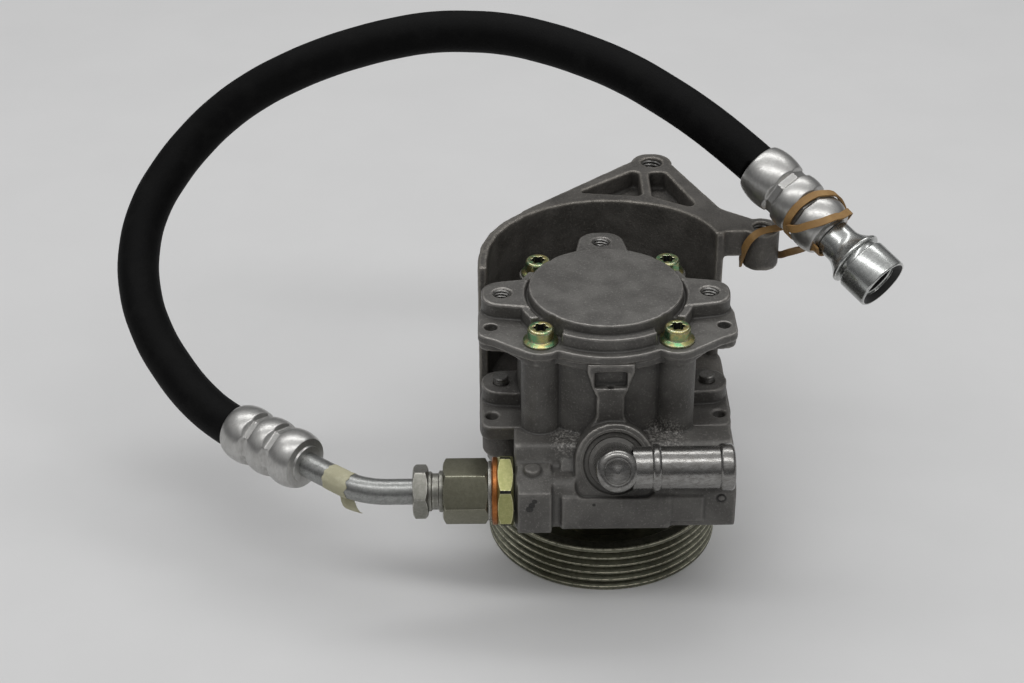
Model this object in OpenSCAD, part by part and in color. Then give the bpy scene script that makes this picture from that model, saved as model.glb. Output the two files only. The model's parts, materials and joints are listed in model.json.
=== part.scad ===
// Belt driven vane pump for power steering, with its mounting bracket, suction elbow and pressure hose.
// It stands on the pulley's lower rim: the shaft is the Z axis, the rear cover is on top,
// the suction pipe points to +X, the pressure outlet to -X and the bracket lies behind the pump, at +Y.

/* [Pulley] */
// Diameter over the crests between the belt grooves
pulley_d = 93; // [90:0.5:98]
// Distance between neighbouring belt grooves
rib_pitch = 3.56; // [3.4:0.02:3.7]
// Number of belt grooves
rib_count = 5; // [4:1:6]
// Depth of a belt groove
groove_depth = 2.8; // [2.2:0.1:3]
// Distance from the rim's edge to the middle of the first crest
rim_edge = 1.35; // [1:0.05:1.8]
// Wall of the rim behind the grooves
rim_wall = 2.4; // [1.8:0.1:3.5]
// Height of the web's underside above the lower rim
web_z = 6.5; // [5.5:0.5:8]
// Thickness of the web
web_t = 3; // [2:0.5:4]
// Diameter of the hub's flange
hub_flange_d = 46; // [42:1:52]
// Thickness of the hub's flange
hub_flange_t = 4; // [3:0.5:5]
// Diameter of the hub's sleeve
hub_sleeve_d = 22; // [20:0.5:24]
// Radius of the circle that carries the pulley bolts
pulley_bolt_r = 16; // [15.5:0.5:17]
// Number of pulley bolts
pulley_bolt_count = 3; // [3:1:4]
// Free height between the hub's flange and the housing's nose
nose_gap = 2; // [1.5:0.5:3]

/* [Shaft and bearing] */
// Shaft diameter in the bearing
shaft_d = 15; // [14:0.5:16]
// Shaft diameter in the rotor
spline_d = 13; // [12:0.5:13.5]
// Shaft diameter in the rear bush
tail_d = 10; // [9:0.5:11]
// Outer diameter of the ball bearing
bearing_d = 35; // [34:0.5:37]
// Width of the ball bearing
bearing_w = 11; // [10:0.5:12]
// Ball diameter
ball_d = 6; // [5:0.25:6.25]
// Number of balls
ball_count = 8; // [7:1:9]
// Outer diameter of the shaft seal
seal_d = 28; // [26:0.5:30]
// Width of the shaft seal
seal_w = 6; // [5:0.5:7]
// Radial clearance of turning and sliding fits
running_gap = 0.05; // [0.02:0.01:0.09]

/* [Vane cartridge] */
// Diameter of the pump chamber
chamber_d = 60; // [59:0.25:61]
// Height of the chamber's floor
chamber_z = 64; // [63:0.5:66]
// Thickness of the lower side plate
side_plate_t = 6; // [5:0.5:7]
// Height of the cam ring
cam_h = 17; // [15:0.5:18]
// Smallest inner radius of the cam ring
cam_minor_r = 21; // [20.5:0.1:21.5]
// Growth of the cam's radius at its two lobes
cam_lift = 2.8; // [2:0.1:3]
// Thickness of the pressure plate
pressure_plate_t = 7; // [6:0.5:7.5]
// Gap between the rotor and the cam's smallest radius
rotor_gap = 0.6; // [0.5:0.05:0.9]
// Gap between a vane's tip and the cam's smallest radius
vane_tip_gap = 0.3; // [0.2:0.05:0.4]
// Number of vanes
vane_count = 10; // [10:1:10]
// Thickness of a vane
vane_t = 1.5; // [1.2:0.1:2]
// Length of a vane from its tip to its foot
vane_l = 8; // [7:0.25:9]
// Travel of a vane into its slot
vane_stroke = 2; // [1.5:0.25:2.5]
// Axial play of the rotor between the plates
rotor_play = 0.1; // [0.05:0.01:0.2]
// Diameter of the two dowel pins
dowel_d = 4; // [3:0.5:5]
// Outer diameter of the plate spring
plate_spring_d = 40; // [36:1:44]
// Height of the plate spring
plate_spring_h = 1.9; // [1.5:0.1:2.5]

/* [Housing] */
// Diameter of the drum round the chamber
drum_d = 69; // [68:0.5:72]
// Height of the drum's underside
drum_z = 44; // [43:0.5:46]
// Diameter of the nose that holds the bearing
nose_d = 48; // [46:0.5:52]
// Height of the joint between housing and rear cover
seam_z = 100.3; // [100:0.1:101.5]
// Diameter of the housing's flange
flange_d = 74.4; // [73:0.2:75.4]
// Thickness of the housing's flange
flange_t = 3.3; // [3:0.1:4]
// Distance of each cover bolt from the shaft, along X and along Y
bolt_offset = 25.8; // [25.4:0.1:26.2]
// Diameter of the columns that take the cover bolts
column_d = 15; // [14:0.5:15.5]
// Height at which the columns run out into the body
column_z = 58; // [56:0.5:60]
// Width of the flat column in the middle of the front
front_column_w = 12.2; // [11:0.1:13]
// Distance of the front column's face from the shaft
front_column_y = 38; // [37.4:0.1:39]
// Height of the notch under the flange in the front column
notch_h = 7.3; // [6:0.1:8]
// Width of the lip over the notch
notch_lip_w = 17.8; // [16:0.2:19]
// Distance of the side lugs' holes from the shaft
side_lug_x = 41; // [40.5:0.25:42]
// Radius of a side lug's round end
side_lug_r = 7.8; // [7.5:0.1:8.5]
// Height of the side lugs' seats on the bracket
side_lug_z = 57; // [56:0.5:58]
// Height of a side lug
side_lug_h = 12; // [10:0.5:14]
// Height of the low tab in front of a side lug
side_tab_h = 6; // [5:0.5:7]
// Distance of the low tabs' outer edge from the middle
side_tab_x = 49; // [48.5:0.25:50]

/* [Valve block] */
// Distance of the valve bore in front of the shaft
valve_y = 46; // [45.5:0.1:46.5]
// Height of the valve bore
valve_z = 49; // [48.6:0.1:49.4]
// Diameter of the valve bore
valve_d = 13; // [12:0.25:14]
// Left end of the block
block_x0 = -36.2; // [-36.6:0.1:-35.6]
// Right end of the block
block_x1 = 47.8; // [47:0.1:49]
// Height of the block's underside
block_z0 = 37.4; // [37:0.1:38.4]
// Height of the block's low ledge
block_ledge_z = 58.6; // [58.2:0.1:60]
// Height of the shoulder between block and drum
block_shoulder_z = 66.2; // [65:0.1:67]
// Distance of the block's front face from the shaft
block_front = 55.8; // [55.4:0.1:56.6]
// Distance of the left box's front face from the shaft
box_front = 59; // [58.4:0.1:60]
// Width of the left box
box_w = 13; // [12:0.5:14]
// Height of the left box's front edge
box_top_z = 56.4; // [56:0.1:57.4]
// Distance of the middle panel's front face from the shaft
panel_front = 57.4; // [57.2:0.1:58]
// Left edge of the middle panel
panel_x0 = -18.4; // [-19:0.1:-17.6]
// Right edge of the middle panel
panel_x1 = 22.7; // [22:0.1:23.2]
// Height of the middle panel's top edge
panel_top_z = 52.8; // [52:0.1:53.4]
// Left edge of the square pad
pad_x = 23.6; // [23.4:0.1:24.6]
// Width and height of the square pad
pad_w = 11.6; // [10.5:0.1:12]
// Travel of the flow control spool
spool_travel = 8; // [6:0.5:9]
// Length of the flow control spool
spool_l = 32; // [30:0.5:33]

/* [Suction] */
// Slant of the suction boss above the horizontal
suction_tilt = 26; // [25:0.5:28]
// Radius of the suction boss
suction_boss_r = 15.2; // [14.5:0.1:16]
// Distance of the suction boss to the right of the middle
suction_x = 1.9; // [1.4:0.1:2.4]
// Outer diameter of the suction pipe
suction_d = 16; // [15:0.25:16.1]
// Outer diameter of the elbow's plug in the boss
plug_d = 16.4; // [16.2:0.1:16.8]
// Depth to which the plug enters the boss
plug_depth = 3; // [2.5:0.1:3.2]
// Wall of the suction elbow
suction_wall = 1.2; // [1:0.1:1.6]
// Right end of the suction pipe
suction_end_x = 45.7; // [43:0.1:48]
// Height of the pipe's axis above the boss's face
suction_rise = 10.5; // [10.2:0.1:11]
// Height of the plug's domed end above the boss's face
plug_rise = 19; // [18.75:0.25:20.5]

/* [Rear cover] */
// Diameter of the cover's flange
cover_flange_d = 76; // [75.5:0.1:77]
// Thickness of the cover's flange
cover_flange_t = 3.5; // [3:0.1:4]
// Diameter of the cover's wall
cover_wall_d = 69; // [68:0.25:70]
// Height of the cover's wall above the joint
cover_wall_h = 8.9; // [8.5:0.1:9.4]
// Diameter of the raised top
cover_top_d = 60; // [59:0.25:61]
// Height of the raised top above the joint
cover_top_h = 12.3; // [11.8:0.1:13]
// Distance of the rear lugs' holes from the shaft
lug_x = 40.3; // [40:0.1:40.8]
// Radius of a rear lug's round end
lug_r = 8; // [7.6:0.1:8.2]
// Height of the rear lugs above the joint
lug_h = 9.7; // [9.4:0.1:10.4]
// Hole of a rear lug, before its M8 thread
lug_hole_d = 6.8; // [6:0.1:7.5]
// Distance of the tab holes from the middle
tab_x = 44.6; // [44:0.1:45]
// Distance of the tab holes in front of the shaft
tab_y = 15.2; // [14.5:0.1:16]
// Diameter of the tab holes
tab_hole_d = 5; // [4:0.1:5.5]
// Diameter of the pocket round each cover bolt
bolt_pocket_d = 17; // [16:0.25:18]

/* [Fasteners] */
// Thread diameter of the cover bolts
cover_bolt_d = 6; // [5:0.25:6.5]
// Diameter of a cover bolt's head
cover_bolt_head_d = 10; // [9:0.25:11]
// Height of a cover bolt's head with its flange
cover_bolt_head_h = 6.2; // [5.5:0.1:7]
// Diameter of a cover bolt's flange
cover_bolt_flange_d = 13.5; // [12.5:0.25:14.5]
// Length of a cover bolt under its head
cover_bolt_l = 24; // [20:1:28]
// Thread diameter of the bracket bolts
bracket_bolt_d = 6; // [5:0.25:6.5]
// Length of thread that stands out of a side lug
bracket_bolt_proud = 2.5; // [1.5:0.25:3.5]
// Thread diameter of the pulley bolts
pulley_bolt_d = 6; // [5:0.25:6.5]
// Clearance of a bolt in its hole, on the radius
bolt_gap = 0.1; // [0.05:0.01:0.2]

/* [Pressure line] */
// Width across the flats of the outlet union
union_flats = 26; // [24:0.5:28]
// Length of the outlet union's hexagon
union_l = 6.1; // [5.5:0.1:7]
// Thread diameter of the outlet union in the block
union_thread_d = 16; // [15:0.25:16.5]
// Length of the outlet union's thread in the block
union_thread_l = 10; // [8:0.5:11]
// Thickness of the copper washer
washer_t = 2; // [1.5:0.1:2.5]
// Diameter of the copper washer
washer_d = 26; // [24:0.5:27]
// Width across the flats of the adapter
adapter_flats = 22; // [20:0.5:24]
// Length of the adapter's hexagon
adapter_l = 17.3; // [15:0.1:19]
// Length of the adapter's collar at the washer
adapter_collar_l = 1.5; // [1:0.1:2]
// Length of the adapter's neck
adapter_neck_l = 5.7; // [5:0.1:7]
// Width across the flats of the tube nut
nut_flats = 18.5; // [17:0.25:20]
// Length of the tube nut
nut_l = 5.8; // [5:0.1:7]
// Outer diameter of the pressure tube
tube_d = 10; // [9:0.25:11]
// Wall of the pressure tube
tube_wall = 1.5; // [1:0.1:2]
// Radius of the tube's bend, at its middle line
tube_bend_r = 28; // [26:1:30]
// Angle of the tube's bend
tube_bend = 40; // [36:1:44]
// Diameter of the hose
hose_d = 17.3; // [16.5:0.1:18]
// Largest diameter of a crimped ferrule
ferrule_d = 23.6; // [22.5:0.1:25]
// Diameter of the ferrule's crimped waists
waist_d = 19; // [18.4:0.1:20]
// Length of a ferrule
ferrule_l = 41.5; // [40:0.5:43]
// Outer diameter of the coupling's collar
coupling_d = 22; // [21:0.25:23]
// Bore of the coupling
coupling_bore_d = 14; // [12:0.25:16]
// Length of the coupling
coupling_l = 30; // [28:0.5:32]
// Length of the paper tape round the tube
tape_l = 11; // [9:0.5:13]

/* [Bracket] */
// Height of the bracket's rim
rim_z = 116; // [115:0.5:118]
// Wall of the bracket
bracket_t = 3.8; // [3:0.1:4.2]
// Radius of the back wall's middle line about the shaft
back_r = 66.5; // [65.5:0.5:68]
// Radius of the wall's left corner, at the middle line
left_corner_r = 50; // [48:0.5:52]
// Radius of the wall's right corner, at the middle line
right_corner_r = 38; // [36:0.5:40]
// Distance of the left wall's middle line from the shaft
left_wall_x = 47.8; // [47.6:0.1:49]
// Distance of the right wall's middle line from the shaft
right_wall_x = 49; // [48:0.1:50]
// Front edge of the left wall
left_wall_y = 9; // [8.6:0.1:12]
// Direction in which the right wall ends, seen from its corner's centre
right_wall_end = 14; // [12:0.5:18]
// Height of the wall's lower edge
wall_z = 45; // [44:0.5:46]
// Thickness of the base under the side lugs
base_t = 10; // [8:0.5:11]
// Height of the bosses round the bolts under the side lugs
base_boss_h = 20; // [17:0.5:21]
// Thickness of the arm and of the ear's web
arm_t = 12; // [10:0.5:14]
// Depth of the arm's two pockets
pocket_depth = 8; // [5:0.5:9]
// Place of the arm's boss
arm_boss = [24.4, 99.3]; // [90:0.1:110]
// Diameter of the arm's boss
arm_boss_d = 17.4; // [16.5:0.1:19]
// Height of the arm's boss
arm_boss_h = 20; // [17:0.5:24]
// Hole of the arm's boss, before its M10 thread
arm_hole_d = 8.5; // [8:0.1:9.5]
// Place of the ear's boss
ear = [64.9, 40.9]; // [35:0.1:70]
// Diameter of the ear's boss
ear_d = 14.6; // [14:0.1:16]
// Height of the ear's boss
ear_h = 17; // [15:0.5:19]
// Hole of the ear's boss, before its M8 thread
ear_hole_d = 6.8; // [6:0.1:7.5]

/* [Hidden] */

$fn = 48;
arc_steps = 8;
eps = 0.01;

cast_grey = "#6a6965";
bracket_grey = "#55524c";
steel = "#9a9c9e";
zinc = "#c4c8ca";

// Heights and radii that follow from the sizes above.
pulley_h = 2 * rim_edge + rib_count * rib_pitch;
pulley_r = pulley_d / 2;
rim_inner_r = pulley_r - groove_depth - rim_wall;
hub_z = web_z + web_t;
nose_z = hub_z + hub_flange_t + nose_gap;
clip_t = 1.2;
clip_z = nose_z + 1;
bearing_z = clip_z + clip_t + 0.1;
bearing_mid_r = (shaft_d + bearing_d) / 4;
race_r = ball_d / 2 + running_gap;
seal_z = bearing_z + bearing_w;
cam_z = chamber_z + side_plate_t;
pressure_plate_z = cam_z + cam_h;
cover_z = pressure_plate_z + pressure_plate_t + plate_spring_h;
cover_seat_z = seam_z + cover_flange_t;
bush_wall = 2;
bush_top_z = seam_z + 3.7;
shaft_top_z = bush_top_z - 1;
plate_gap = 0.1;
plate_bore_r = spline_d / 2 + 3.5;
rotor_r = cam_minor_r - rotor_gap;
vane_tip_r = cam_minor_r - vane_tip_gap;
slot_foot_r = vane_tip_r - vane_l - vane_stroke - 0.5;

// The front column stands a little to the right; its notch ends under the flange.
front_column_x = 0.4;
notch_z = seam_z - flange_t - notch_h;

// The suction boss: its port behind the plug, its seal's recess, its spot face and the middle of its face.
suction_port_r = 4;
seal_recess = 2.5;
spot_depth = 1.2;
suction_face = [suction_x, -49.4, 63.6];

// The pressure line: X of each joint between its pieces, from the block outwards.
union_x = block_x0 - 0.4;
union_foot_x = union_x + union_thread_l;
washer_x = union_x - union_l;
collar_x = washer_x - washer_t;
adapter_x = collar_x - adapter_collar_l;
neck_x = adapter_x - adapter_l;
nut_x = neck_x - adapter_neck_l;

// Distances of a ferrule's two waists from the hose's end.
waist_t = [17, 29];

// The hose's route from the near ferrule to the far one.
hose_route = [
    [-149.7, 0, 49], [-163.5, 12.5, 52.5], [-176.5, 27, 60.5], [-186, 41, 69.5], [-192, 56, 80],
    [-193.5, 72, 91.5], [-190, 86, 103], [-182, 97.5, 114], [-171.5, 106.5, 124.5], [-159, 111.5, 135],
    [-145, 113.5, 144.5], [-130, 114, 152.5], [-115, 114, 159], [-100, 114, 164], [-85, 113.5, 168],
    [-69, 112.5, 171], [-53, 109.5, 172.5], [-37.5, 105, 173], [-22, 98.5, 172], [-6, 91, 169.5],
    [10, 83, 165.5], [25, 74, 160], [43.5, 61.5, 151.5], [62, 46, 141]];
hose_start = hose_route[0];
hose_end = hose_route[len(hose_route) - 1];
near_dir = [-cos(tube_bend), sin(tube_bend), 0];
far_turn = -47;
far_drop = 23;
far_dir = [cos(far_drop) * cos(far_turn), cos(far_drop) * sin(far_turn), -sin(far_drop)];

// Vectors and outlines.
function unit(v) = v / norm(v);
function flat(p) = [p.x, p.y];
function shortest(a) = a > 180 ? a - 360 : a < -180 ? a + 360 : a;
function arc(o, r, a0, a1, steps = arc_steps) =
    [for (i = [0:steps]) o + r * [cos(a0 + (a1 - a0) * i / steps), sin(a0 + (a1 - a0) * i / steps)]];

// The rounded corner at b, between a and c.
function corner(a, b, c, r) =
    let (u = unit(a - b), v = unit(c - b), half = acos(u * v) / 2,
         o = b + unit(u + v) * r / sin(half),
         p = b + u * r / tan(half) - o, q = b + v * r / tan(half) - o,
         a0 = atan2(p.y, p.x))
    arc(o, r, a0, a0 + shortest(atan2(q.y, q.x) - a0));

// An outline whose points are [x, y, corner radius].
function rounded(pts) =
    let (n = len(pts))
    [for (i = [0:n - 1])
        each pts[i][2] > 0
            ? corner(flat(pts[(i + n - 1) % n]), flat(pts[i]), flat(pts[(i + 1) % n]), pts[i][2])
            : [flat(pts[i])]];

// A lug that starts at the middle, narrows to a round end about [x, 0] and has half width w at x0.
function lug_outline(x, r, x0, w) =
    rounded([[x0, -w, 0], [x + r, -r, r * 0.98], [x + r, r, r * 0.98], [x0, w, 0]]);

// Directions along a path: the first and last are given.
function path_dirs(p, first, last) =
    let (n = len(p))
    [for (i = [0:n - 1])
        i == 0 ? first : i == n - 1 ? last : unit(unit(p[i + 1] - p[i]) + unit(p[i] - p[i - 1]))];

// A side direction carried along a path without twist.
function carried(dirs, side, i = 0) =
    i == len(dirs) ? []
    : let (w = unit(side - (side * dirs[i]) * dirs[i])) concat([w], carried(dirs, w, i + 1));

// A round bar swept along a path.
module swept(path, dirs, r, sides) {
    side = carried(dirs, abs(dirs[0].z) < 0.9 ? [0, 0, 1] : [1, 0, 0]);
    last = len(path) - 1;
    points = [for (i = [0:last], k = [0:sides - 1])
        path[i] + r * (cos(360 * k / sides) * side[i] + sin(360 * k / sides) * cross(dirs[i], side[i]))];
    walls = [for (i = [0:last - 1], k = [0:sides - 1])
        let (a = i * sides + k, b = i * sides + (k + 1) % sides)
        each [[a, a + sides, b + sides], [a, b + sides, b]]];
    caps = [[for (k = [0:sides - 1]) k], [for (k = [sides - 1:-1:0]) last * sides + k]];
    polyhedron(points, concat(walls, caps));
}

// Placing: along X from x0 to x1 with the outline in Y and Z, or with Z turned to -X at the outlet.
module along_x(x0, x1) {
    translate([x0, 0, 0]) rotate([90, 0, 90]) linear_extrude(x1 - x0) children();
}
module at_outlet(x) {
    translate([x, -valve_y, valve_z]) rotate([0, -90, 0]) children();
}
module at_suction() {
    translate(suction_face) rotate([90 - suction_tilt, 0, 0]) children();
}
module at_bolts() {
    for (sx = [-1, 1], sy = [-1, 1]) translate([sx * bolt_offset, sy * bolt_offset, 0]) children();
}
module both_sides() {
    children();
    mirror([1, 0, 0]) children();
}
module pointing(from, dir) {
    translate(from)
        rotate([0, acos(dir.z), atan2(dir.y, dir.x)])
            children();
}
module ring(r_in, r_out, z, h) {
    translate([0, 0, z]) rotate_extrude() translate([r_in, 0]) square([r_out - r_in, h]);
}
module rod(r, z, h) {
    translate([0, 0, z]) cylinder(r = r, h = h);
}
module hexagon(flats, h) {
    cylinder(d = flats / cos(30), h = h, $fn = 6);
}

// A hexagon with its corners turned off on both ends.
module turned_hexagon(flats, h, z = 0) {
    r = flats / cos(30) / 2;
    slope = 0.8;
    translate([0, 0, z])
        intersection() {
            hexagon(flats, h);
            rotate_extrude()
                polygon([
                    [0, 0], [flats / 2, 0], [r + eps, slope], [r + eps, h - slope], [flats / 2, h], [0, h]]);
        }
}

// Cast housing
module side_lugs() {
    both_sides() {
        translate([0, 0, side_lug_z])
            linear_extrude(side_lug_h) polygon(lug_outline(side_lug_x, side_lug_r, 20, side_lug_r + 2));
        translate([0, 0, side_lug_z])
            linear_extrude(side_tab_h)
                polygon(rounded([[25, -23.6, 0], [side_tab_x, -23.6, 4], [side_tab_x, 4, 4], [25, 4, 0]]));
    }
}

module valve_block() {
    front_corner = 3;
    back_y = -28;
    along_x(block_x0, block_x1)
        polygon(rounded([
            [back_y, block_z0, 0], [-block_front, block_z0, front_corner],
            [-block_front, block_ledge_z, 2 * front_corner], [-valve_y + 2, block_ledge_z, front_corner],
            [-valve_y + 6, block_shoulder_z, front_corner], [back_y, block_shoulder_z, 0]]));
    along_x(box_x(), box_x() + box_w)
        polygon(rounded([
            [-valve_y + 4, block_z0, 0], [-box_front, block_z0, 2], [-box_front, box_top_z, 0.8],
            [-valve_y, box_back_z(), 2], [-valve_y + 4, box_back_z(), 0]]));
    along_x(panel_x0, panel_x1)
        polygon(rounded([
            [-valve_y + 6, block_z0, 0], [-panel_front, block_z0, front_corner], [-panel_front, panel_top_z, 2],
            [-valve_y + 6, panel_top_z + 10, 0]]));
    front_pads();
}

// The left box starts just inside the block's left end, and its top slopes up to the block's ledge.
function box_x() = block_x0 + 1;
function box_back_z() = block_ledge_z + 1.4;

// The round boss behind the left box, the square pad and the ringed plug on the right of the block.
module front_pads() {
    pad_z = block_z0 + 4;
    proud = 0.9;
    translate([box_x() + 5.8, -valve_y - 2, box_back_z() - 3]) cylinder(r = 3.2, h = 4);
    along_x(pad_x, pad_x + pad_w)
        polygon(rounded([
            [-valve_y, pad_z, 0], [-block_front - proud, pad_z, 0.8],
            [-block_front - proud, pad_z + pad_w, 0.8], [-valve_y, pad_z + pad_w, 0]]));
}

// Place of the ringed plug's recess.
module at_ring_recess() {
    translate([block_x1 - 5.6, -block_front - 1, valve_z + 2.3]) rotate([-90, 0, 0]) children();
}

// The suction boss is round above and has square shoulders below.
function boss_outline(r = suction_boss_r) =
    rounded([[-r, 2.2 - r, 4], [r, 2.2 - r, 4], [r, r, r * 0.98], [-r, r, r * 0.98]]);

module suction_boss() {
    deep = 24;
    at_suction() translate([0, 0, -deep]) linear_extrude(deep) polygon(boss_outline());
}

// A flange's side: from the rear lug over the tab with its outer edge at x to the ear of the front bolt.
function flange_side(x, shoulder, ear_drop) =
    rounded([
        [20, 4, 0], [lug_x + 7, 4, 2], [x, -5, 6], [x, -tab_y - 6.2, 4.5], shoulder,
        [bolt_offset + 5.6, ear_drop - bolt_offset, 0], [bolt_offset, -bolt_offset, 0]]);

// The flat column in the middle of the front: a lip under the flange, the notch's cheeks, and a flared foot.
module front_column() {
    lip = notch_lip_w / 2;
    lip_z = seam_z - flange_t - 0.4;
    cheek = 0.8;
    shelf = front_column_w / 2 + cheek;
    waist = front_column_w / 2 - cheek;
    waist_z = notch_z - 4;
    foot = front_column_w / 2 + 5;
    foot_z = column_z + 8;
    drum_inside_y = 28;
    translate([front_column_x, -drum_inside_y, 0])
        rotate([90, 0, 0])
            linear_extrude(front_column_y - drum_inside_y)
                polygon(rounded([
                    [-lip, seam_z, 0], [-lip, lip_z, 0], [-shelf, notch_z, 2], [-waist, waist_z, 3],
                    [-waist, foot_z + 10, 8], [-foot, foot_z, 3], [-foot, column_z, 0],
                    [foot, column_z, 0], [foot, foot_z, 3], [waist, foot_z + 10, 8],
                    [waist, waist_z, 3], [shelf, notch_z, 2], [lip, lip_z, 0], [lip, seam_z, 0]]));
}

module housing() {
    color(cast_grey)
    difference() {
        union() {
            rod(drum_d / 2, drum_z, seam_z - drum_z);
            rod(nose_d / 2, nose_z, drum_z + 1 - nose_z);
            translate([0, 0, drum_z - 9]) cylinder(d1 = nose_d, d2 = drum_d, h = 9);
            rod(flange_d / 2, seam_z - flange_t, flange_t);
            at_bolts() rod(column_d / 2, column_z, seam_z - column_z);
            at_bolts() rod(column_d / 2 + 0.3, seam_z - flange_t, flange_t);
            both_sides()
                translate([0, 0, seam_z - flange_t])
                    linear_extrude(flange_t)
                        polygon(flange_side(tab_x + 4.7, [tab_x - 5.6, -tab_y - 7.6, 5], -5.2));
            front_column();
            side_lugs();
            valve_block();
            suction_boss();
        }
        // Chamber, shaft passage, seal seat and bearing seat
        rod(chamber_d / 2, chamber_z, seam_z - chamber_z + 1);
        rod(shaft_d / 2 + 1.5, nose_z, chamber_z - nose_z + 1);
        rod(seal_d / 2, seal_z - 1, seal_w + 1);
        rod(bearing_d / 2, nose_z - 1, seal_z - nose_z + 1);
        rod(bearing_d / 2 + 1, clip_z - 0.1, clip_t + 0.2);
        // Valve bore, with the outlet union's thread at its mouth
        at_outlet(bore_end_x()) cylinder(d = valve_d, h = bore_end_x() - block_x0 + 1);
        at_outlet(union_foot_x + 0.5) cylinder(d = union_thread_d, h = union_thread_l + 3);
        // Suction port, with its two counterbores
        at_suction() {
            translate([0, 0, -20]) cylinder(r = suction_port_r, h = 21);
            translate([0, 0, -plug_depth]) cylinder(d = plug_d + 2 * running_gap, h = plug_depth + 1);
            translate([0, 0, -seal_recess]) cylinder(r = plug_d / 2 + 1.5, h = seal_recess + 1);
            translate([0, 0, -spot_depth]) cylinder(r = plug_d / 2 + 4, h = plug_rise);
            linear_extrude(plug_rise) polygon(boss_outline());
        }
        // Notch under the flange, with its small drilling
        translate([front_column_x - front_column_w / 2, -front_column_y - 1, notch_z])
            cube([front_column_w, 4.4, notch_h]);
        translate([front_column_x, -front_column_y + 1.6, notch_z - 6]) cylinder(r = 1.2, h = 7);
        // Holes for the bolts and in the low tabs
        at_bolts() rod(cover_bolt_d / 2 + bolt_gap, cover_seat_z - cover_bolt_l - 3, cover_bolt_l + 3);
        both_sides() {
            translate([side_lug_x, 0, side_lug_z - 1])
                cylinder(r = bracket_bolt_d / 2 + bolt_gap, h = side_lug_h + 2);
            translate([tab_x, -tab_y, side_lug_z - 1]) cylinder(d = tab_hole_d - 0.2, h = side_tab_h + 2);
            translate([tab_x, -tab_y, seam_z - flange_t - 1]) cylinder(d = tab_hole_d + 0.8, h = flange_t + 2);
        }
        at_ring_recess()
            difference() {
                cylinder(r = 2.2, h = 2);
                cylinder(r = 1.3, h = 2);
            }
    }
}

// Cast rear cover
module rear_cover() {
    rim_groove = 0.9;
    color(cast_grey)
    difference() {
        union() {
            rod(cover_flange_d / 2, seam_z, cover_flange_t);
            at_bolts() rod(column_d / 2, seam_z, cover_flange_t);
            both_sides()
                translate([0, 0, seam_z]) {
                    translate([bolt_offset, -bolt_offset, 0])
                        cylinder(r = column_d / 2 + 2, h = cover_flange_t);
                    linear_extrude(cover_flange_t)
                        polygon(flange_side(tab_x + 5, [tab_x - 0.6, -tab_y - 9, 6], -7.8));
                }
            difference() {
                rod(cover_wall_d / 2, seam_z + 1, cover_wall_h - 1);
                at_bolts() rod(bolt_pocket_d / 2, cover_seat_z, cover_wall_h);
            }
            difference() {
                rod(cover_top_d / 2, seam_z + 1, cover_top_h - 1);
                at_bolts() rod(cover_bolt_flange_d / 2 + bolt_gap, cover_seat_z, cover_top_h);
            }
            for (turn = [0, 90, 180])
                rotate([0, 0, turn])
                    translate([0, 0, seam_z + 2.6])
                        linear_extrude(lug_h - 2.6) polygon(lug_outline(lug_x, lug_r, 10, lug_r + 6.5));
            rod(chamber_d / 2 - plate_gap, cover_z, seam_z - cover_z + 1);
        }
        // Groove round the raised top
        ring(cover_top_d / 2, cover_top_d / 2 + 1.3, seam_z + cover_wall_h - rim_groove, 3 * rim_groove);
        // Seat of the rear bush and groove of the seal
        rod(tail_d / 2 + running_gap + bush_wall, cover_z - 1, bush_top_z - cover_z + 1);
        ring(chamber_d / 2 - 2.6, chamber_d / 2 + 1, cover_z + 0.9, 2.5);
        // Tapped lugs, bolt holes and tab holes
        for (turn = [0, 90, 180])
            rotate([0, 0, turn]) translate([lug_x, 0, seam_z + 1]) cylinder(d = lug_hole_d, h = lug_h);
        at_bolts() rod(cover_bolt_d / 2 + 3 * bolt_gap, seam_z - 1, cover_flange_t + 2);
        both_sides() translate([tab_x, -tab_y, seam_z - 1]) cylinder(d = tab_hole_d, h = cover_flange_t + 2);
    }
}

module cover_seal() {
    wire_r = 1.2;
    color("#20201f")
        translate([0, 0, cover_z + 0.9 + 1.25])
            rotate_extrude() translate([chamber_d / 2 - 0.1 - wire_r, 0]) circle(r = wire_r, $fn = 24);
}

// Six lobed socket of a cover bolt.
module lobed_socket(r, h) {
    lobes = 6;
    linear_extrude(h)
        polygon([for (i = [0:6 * lobes - 1])
            let (a = 360 * i / (6 * lobes)) (r + 0.14 * r * cos(lobes * a)) * [cos(a), sin(a)]]);
}

module cover_bolts() {
    flange_h = 1.6;
    color("#8a8a55")
        at_bolts()
            translate([0, 0, cover_seat_z])
                difference() {
                    union() {
                        translate([0, 0, -cover_bolt_l]) cylinder(d = cover_bolt_d, h = cover_bolt_l + 1);
                        rotate_extrude()
                            polygon([
                                [0, 0], [cover_bolt_flange_d / 2, 0], [cover_bolt_flange_d / 2, 0.8],
                                [cover_bolt_head_d / 2 + 0.4, flange_h],
                                [cover_bolt_head_d / 2, flange_h + 0.3],
                                [cover_bolt_head_d / 2, cover_bolt_head_h - 0.6],
                                [cover_bolt_head_d / 2 - 0.6, cover_bolt_head_h], [0, cover_bolt_head_h]]);
                    }
                    translate([0, 0, cover_bolt_head_h - 3.2]) lobed_socket(2.5, 4);
                }
}

module rear_bush() {
    bush_r = tail_d / 2 + running_gap;
    color("#a98a54")
        ring(bush_r, bush_r + bush_wall, cover_z + 0.5, bush_top_z - cover_z - 0.5);
}

// Vane cartridge
module kidney_ports(h) {
    port_r = cam_minor_r - 1.5;
    port_w = 4;
    for (turn = [45:90:315])
        rotate([0, 0, turn - 17])
            rotate_extrude(angle = 34) translate([port_r - port_w / 2, 0]) square([port_w, h]);
}

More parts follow.
